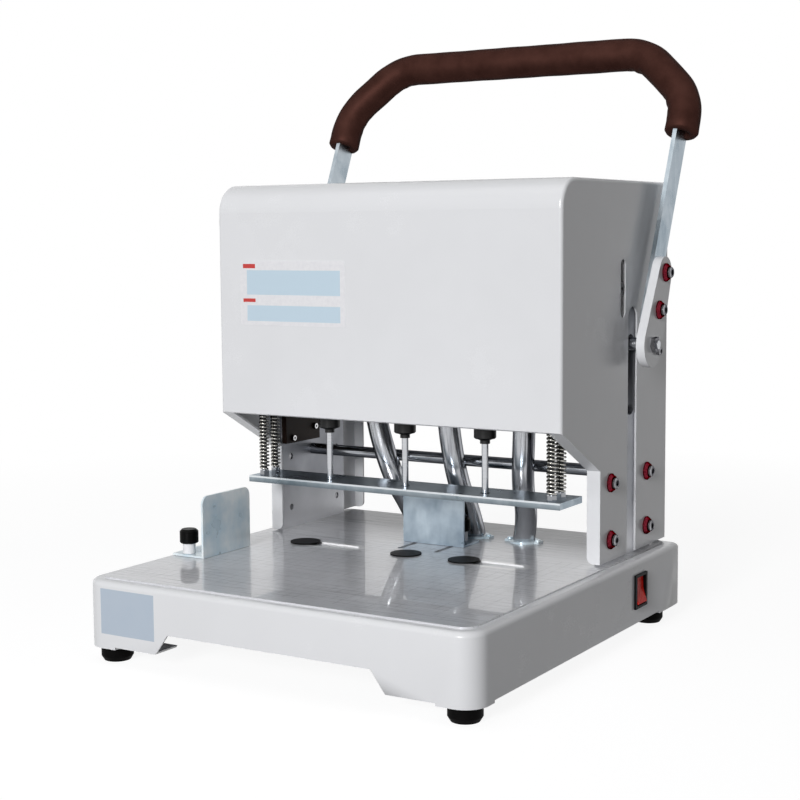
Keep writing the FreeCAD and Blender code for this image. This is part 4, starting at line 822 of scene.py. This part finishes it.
def makeFoam():
    stations = bowStations()
    shape = bmesh.new()
    rings = []
    for index, ((x, z), (ahead, up), bent) in enumerate(stations):
        fromEnd = min(index, len(stations) - 1 - index)
        atEnd = fromEnd < len(foam["ends"])
        radius = foam["radius"]
        if atEnd:
            shrink, rise = foam["ends"][fromEnd]
            radius *= shrink
            z = foam["low"] + rise
        ring = []
        for side in range(foam["sides"]):
            angle = 2 * math.pi * side / foam["sides"]
            reach = radius if atEnd else softRadius(radius, index, angle, bent)
            out, off = reach * math.cos(angle), reach * math.sin(angle)
            # the bow's outside is to the left of its direction
            ring.append(shape.verts.new(leaned(x - up * out, off, z + ahead * out)))
        rings.append(ring)
    for first, second in zip(rings, rings[1:]):
        for side in range(foam["sides"]):
            after = (side + 1) % foam["sides"]
            shape.faces.new((first[side], first[after], second[after], second[side]))
    shape.faces.new(rings[0][::-1])
    shape.faces.new(rings[-1])
    bmesh.ops.recalc_face_normals(shape, faces=shape.faces)
    mesh = meshOf(shape, "foamSleeve")
    smoothAll(mesh)
    piece = newPiece("foamSleeve", mesh, makeFinish("foamSkin", foamSkin))
    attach(piece, "handle")
    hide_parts("foam_grip")


# the flat bars, as the frame's solid has them, run up into the sleeve
arms = {"cutUp": 0.2085, "into": 0.016}


def makeArms():
    shape = shapeOf("handle_frame")
    middle = Vector(leaned(0, 0, arms["cutUp"]))
    upward = (middle - Vector(leaned(0, 0, 0))).normalized()
    everything = shape.verts[:] + shape.edges[:] + shape.faces[:]
    cut = bmesh.ops.bisect_plane(shape, geom=everything, plane_co=middle, plane_no=upward, clear_outer=True)
    rim = [item for item in cut["geom_cut"] if isinstance(item, bmesh.types.BMEdge)]
    tops = bmesh.ops.edgenet_fill(shape, edges=rim)["faces"]
    extrude(shape, tops, upward * arms["into"])
    mesh = meshOf(shape, "handleArms")
    piece = newPiece("handleArms", mesh, makeFinish("zincArm", zincArm))
    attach(piece, "handle")
    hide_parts("handle_frame")


makeArms()
makeFoam()
print("stage: handle arms and foam sleeve")


# chip hoses: one smooth line each through the route that the solids follow
hoses = {
    "places": {"left": (-0.083, -0.046), "centre": (0.0, 0.015), "right": (0.083, 0.068)},
    "top": 0.222, "straight": 0.027, "drop": 0.089, "low": 0.0765, "lowUp": 0.024, "y": 0.067, "footY": 0.095,
    "stepBack": 0.002, "lowFront": 0.007, "swayHigh": 0.44, "swayLow": 0.69, "lean": 0.003, "radius": 0.0105,
    "stepsAlong": 16, "stepsRound": 10, "order": 3,
}


def hoseRoute(topX, footX):
    sway = footX - topX
    leanX = topX + hoses["lean"]
    return [
        (topX, hoses["y"], hoses["top"]), (topX, hoses["y"], hoses["top"] - hoses["straight"]),
        (leanX + hoses["swayHigh"] * sway, hoses["y"] + hoses["stepBack"], hoses["top"] - hoses["drop"]),
        (leanX + hoses["swayLow"] * sway, hoses["footY"] - hoses["lowFront"], hoses["low"] + hoses["lowUp"]),
        (footX, hoses["footY"], hoses["low"]),
    ]


def tubeMesh(name, points):
    line = bpy.data.curves.new(name, "CURVE")
    line.dimensions = "3D"
    line.resolution_u = hoses["stepsAlong"]
    line.bevel_depth = hoses["radius"]
    line.bevel_resolution = hoses["stepsRound"]
    line.use_fill_caps = True
    spline = line.splines.new("NURBS")
    spline.points.add(len(points) - 1)
    for point, place in zip(spline.points, points):
        point.co = (*place, 1.0)
    spline.order_u = hoses["order"]
    spline.use_endpoint_u = True
    holder = bpy.data.objects.new(name, line)
    scene.collection.objects.link(holder)
    mesh = bpy.data.meshes.new_from_object(holder.evaluated_get(bpy.context.evaluated_depsgraph_get()))
    bpy.data.objects.remove(holder)
    return mesh


def makeHoses():
    finish = makeFinish("hoseSkin", hoseSkin)
    for place, (topX, footX) in hoses["places"].items():
        mesh = tubeMesh(f"hose_{place}", hoseRoute(topX, footX))
        smoothAll(mesh)
        piece = newPiece(f"chipHose_{place}", mesh, finish)
        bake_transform(piece)
        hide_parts(f"chip_hose_{place}")


makeHoses()
print("stage: chip hoses")


# press springs: four coils from one tree of nodes
springs = {
    "wide": 0.306, "deep": 0.018, "middleY": -0.010, "low": 0.1433, "high": 0.2217, "radius": 0.0039,
    "wire": 0.00095, "wireSides": 8, "turns": 23.0, "stepsInTurn": 20,
}


class Tree(Graph):
    # a geometry tree with named inputs, ending in Realize Instances and Set Material
    def __init__(self, name, inputs):
        super().__init__(bpy.data.node_groups.new(name, "GeometryNodeTree"))
        self.sockets = {}
        for label in inputs:
            item = self.tree.interface.new_socket(label, in_out="INPUT", socket_type="NodeSocketFloat")
            self.sockets[label] = item.identifier
        self.tree.interface.new_socket("Geometry", in_out="OUTPUT", socket_type="NodeSocketGeometry")

    def input(self, label):
        return self.add("NodeGroupInput", out=label)

    def close(self, geometry, finish):
        real = self.add("GeometryNodeRealizeInstances", None, {0: geometry})
        painted = self.add("GeometryNodeSetMaterial", None, {"Geometry": real, "Material": finish})
        self.add("NodeGroupOutput", None, {0: painted})

    def build(self, name, values):
        # runs the tree once and keeps its result as one plain mesh
        holder = bpy.data.objects.new(name, bpy.data.meshes.new(name))
        scene.collection.objects.link(holder)
        modifier = holder.modifiers.new(name, "NODES")
        modifier.node_group = self.tree
        for label, value in values.items():
            modifier[self.sockets[label]] = value
        graph = bpy.context.evaluated_depsgraph_get()
        mesh = bpy.data.meshes.new_from_object(holder.evaluated_get(graph))
        holder.modifiers.clear()
        bpy.data.objects.remove(holder)
        return mesh


def makeSprings():
    finish = plainFinish("springWire")
    tree = Tree("coilSpring", ("Coil radius", "Wire radius", "Height", "Turns"))
    spiral = tree.add("GeometryNodeCurveSpiral", None, {
        "Resolution": springs["stepsInTurn"], "Rotations": tree.input("Turns"),
        "Start Radius": tree.input("Coil radius"), "End Radius": tree.input("Coil radius"),
        "Height": tree.input("Height"),
    })
    ring = tree.add("GeometryNodeCurvePrimitiveCircle", None, {
        "Resolution": springs["wireSides"], "Radius": tree.input("Wire radius"),
    })
    coil = tree.add("GeometryNodeCurveToMesh", None, {
        "Curve": spiral, "Profile Curve": ring, "Fill Caps": True,
    })
    corners = tree.add("GeometryNodeMeshGrid", None, {
        "Size X": springs["wide"], "Size Y": springs["deep"], "Vertices X": 2, "Vertices Y": 2,
    })
    start = (0.0, springs["middleY"], springs["low"] + springs["wire"])
    placed = tree.add("GeometryNodeTransform", None, {"Geometry": corners, "Translation": start})
    four = tree.add("GeometryNodeInstanceOnPoints", None, {"Points": placed, "Instance": coil})
    tree.close(four, finish)
    mesh = tree.build("pressSprings", {
        "Coil radius": springs["radius"], "Wire radius": springs["wire"], "Turns": springs["turns"],
        "Height": springs["high"] - springs["low"] - 2 * springs["wire"],
    })
    smoothAll(mesh)
    piece = newPiece("pressSprings", mesh, finish)
    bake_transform(piece)
    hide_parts("spring_left_front", "spring_left_rear", "spring_right_front", "spring_right_rear")


makeSprings()
print("stage: press springs")


# the label film on the hood, left bare of words
label = {
    "x": (-0.1529, -0.0362), "z": (0.2846, 0.3442), "front": -0.052, "thick": 0.00025,
    "round": 0.0025, "cornerSteps": 6,
    "panel": tint(204, 224, 238), "panelX": (-0.1453, -0.0414),
    "panelZ": ((0.3127, 0.3353), (0.2883, 0.3028)),
    "pill": tint(205, 62, 58), "pillX": (-0.1497, -0.1357), "pillZ": ((0.3371, 0.3411), (0.3058, 0.3091)),
}


def labelFilm(graph, place):
    coat = plainCoat(graph, place, "film")
    x, z = graph.axes(place, "XZ")
    for mark in ("panel", "pill"):
        for span in label[f"{mark}Z"]:
            inside = inSpan(x, label[f"{mark}X"]) * inSpan(z, span)
            coat["Base Color"] = graph.mix(inside, coat["Base Color"], label[mark])
    return coat


def makeLabel():
    (left, right), (low, high) = label["x"], label["z"]
    shape = bmesh.new()
    corners = []
    for x, z, start in ((right, high, 0), (left, high, 90), (left, low, 180), (right, low, 270)):
        inX = x - label["round"] if x == right else x + label["round"]
        inZ = z - label["round"] if z == high else z + label["round"]
        for step in range(label["cornerSteps"] + 1):
            angle = math.radians(start + 90 / label["cornerSteps"] * step)
            corners.append((inX + label["round"] * math.cos(angle), inZ + label["round"] * math.sin(angle)))
    back = shape.faces.new([shape.verts.new((x, label["front"], z)) for x, z in corners])
    extrude(shape, [back], (0, -label["thick"], 0))
    mesh = meshOf(shape, "hoodLabel")
    piece = newPiece("hoodLabel", mesh, makeFinish("labelFilm", labelFilm))
    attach(piece, "base")


makeLabel()
print("stage: hood label")
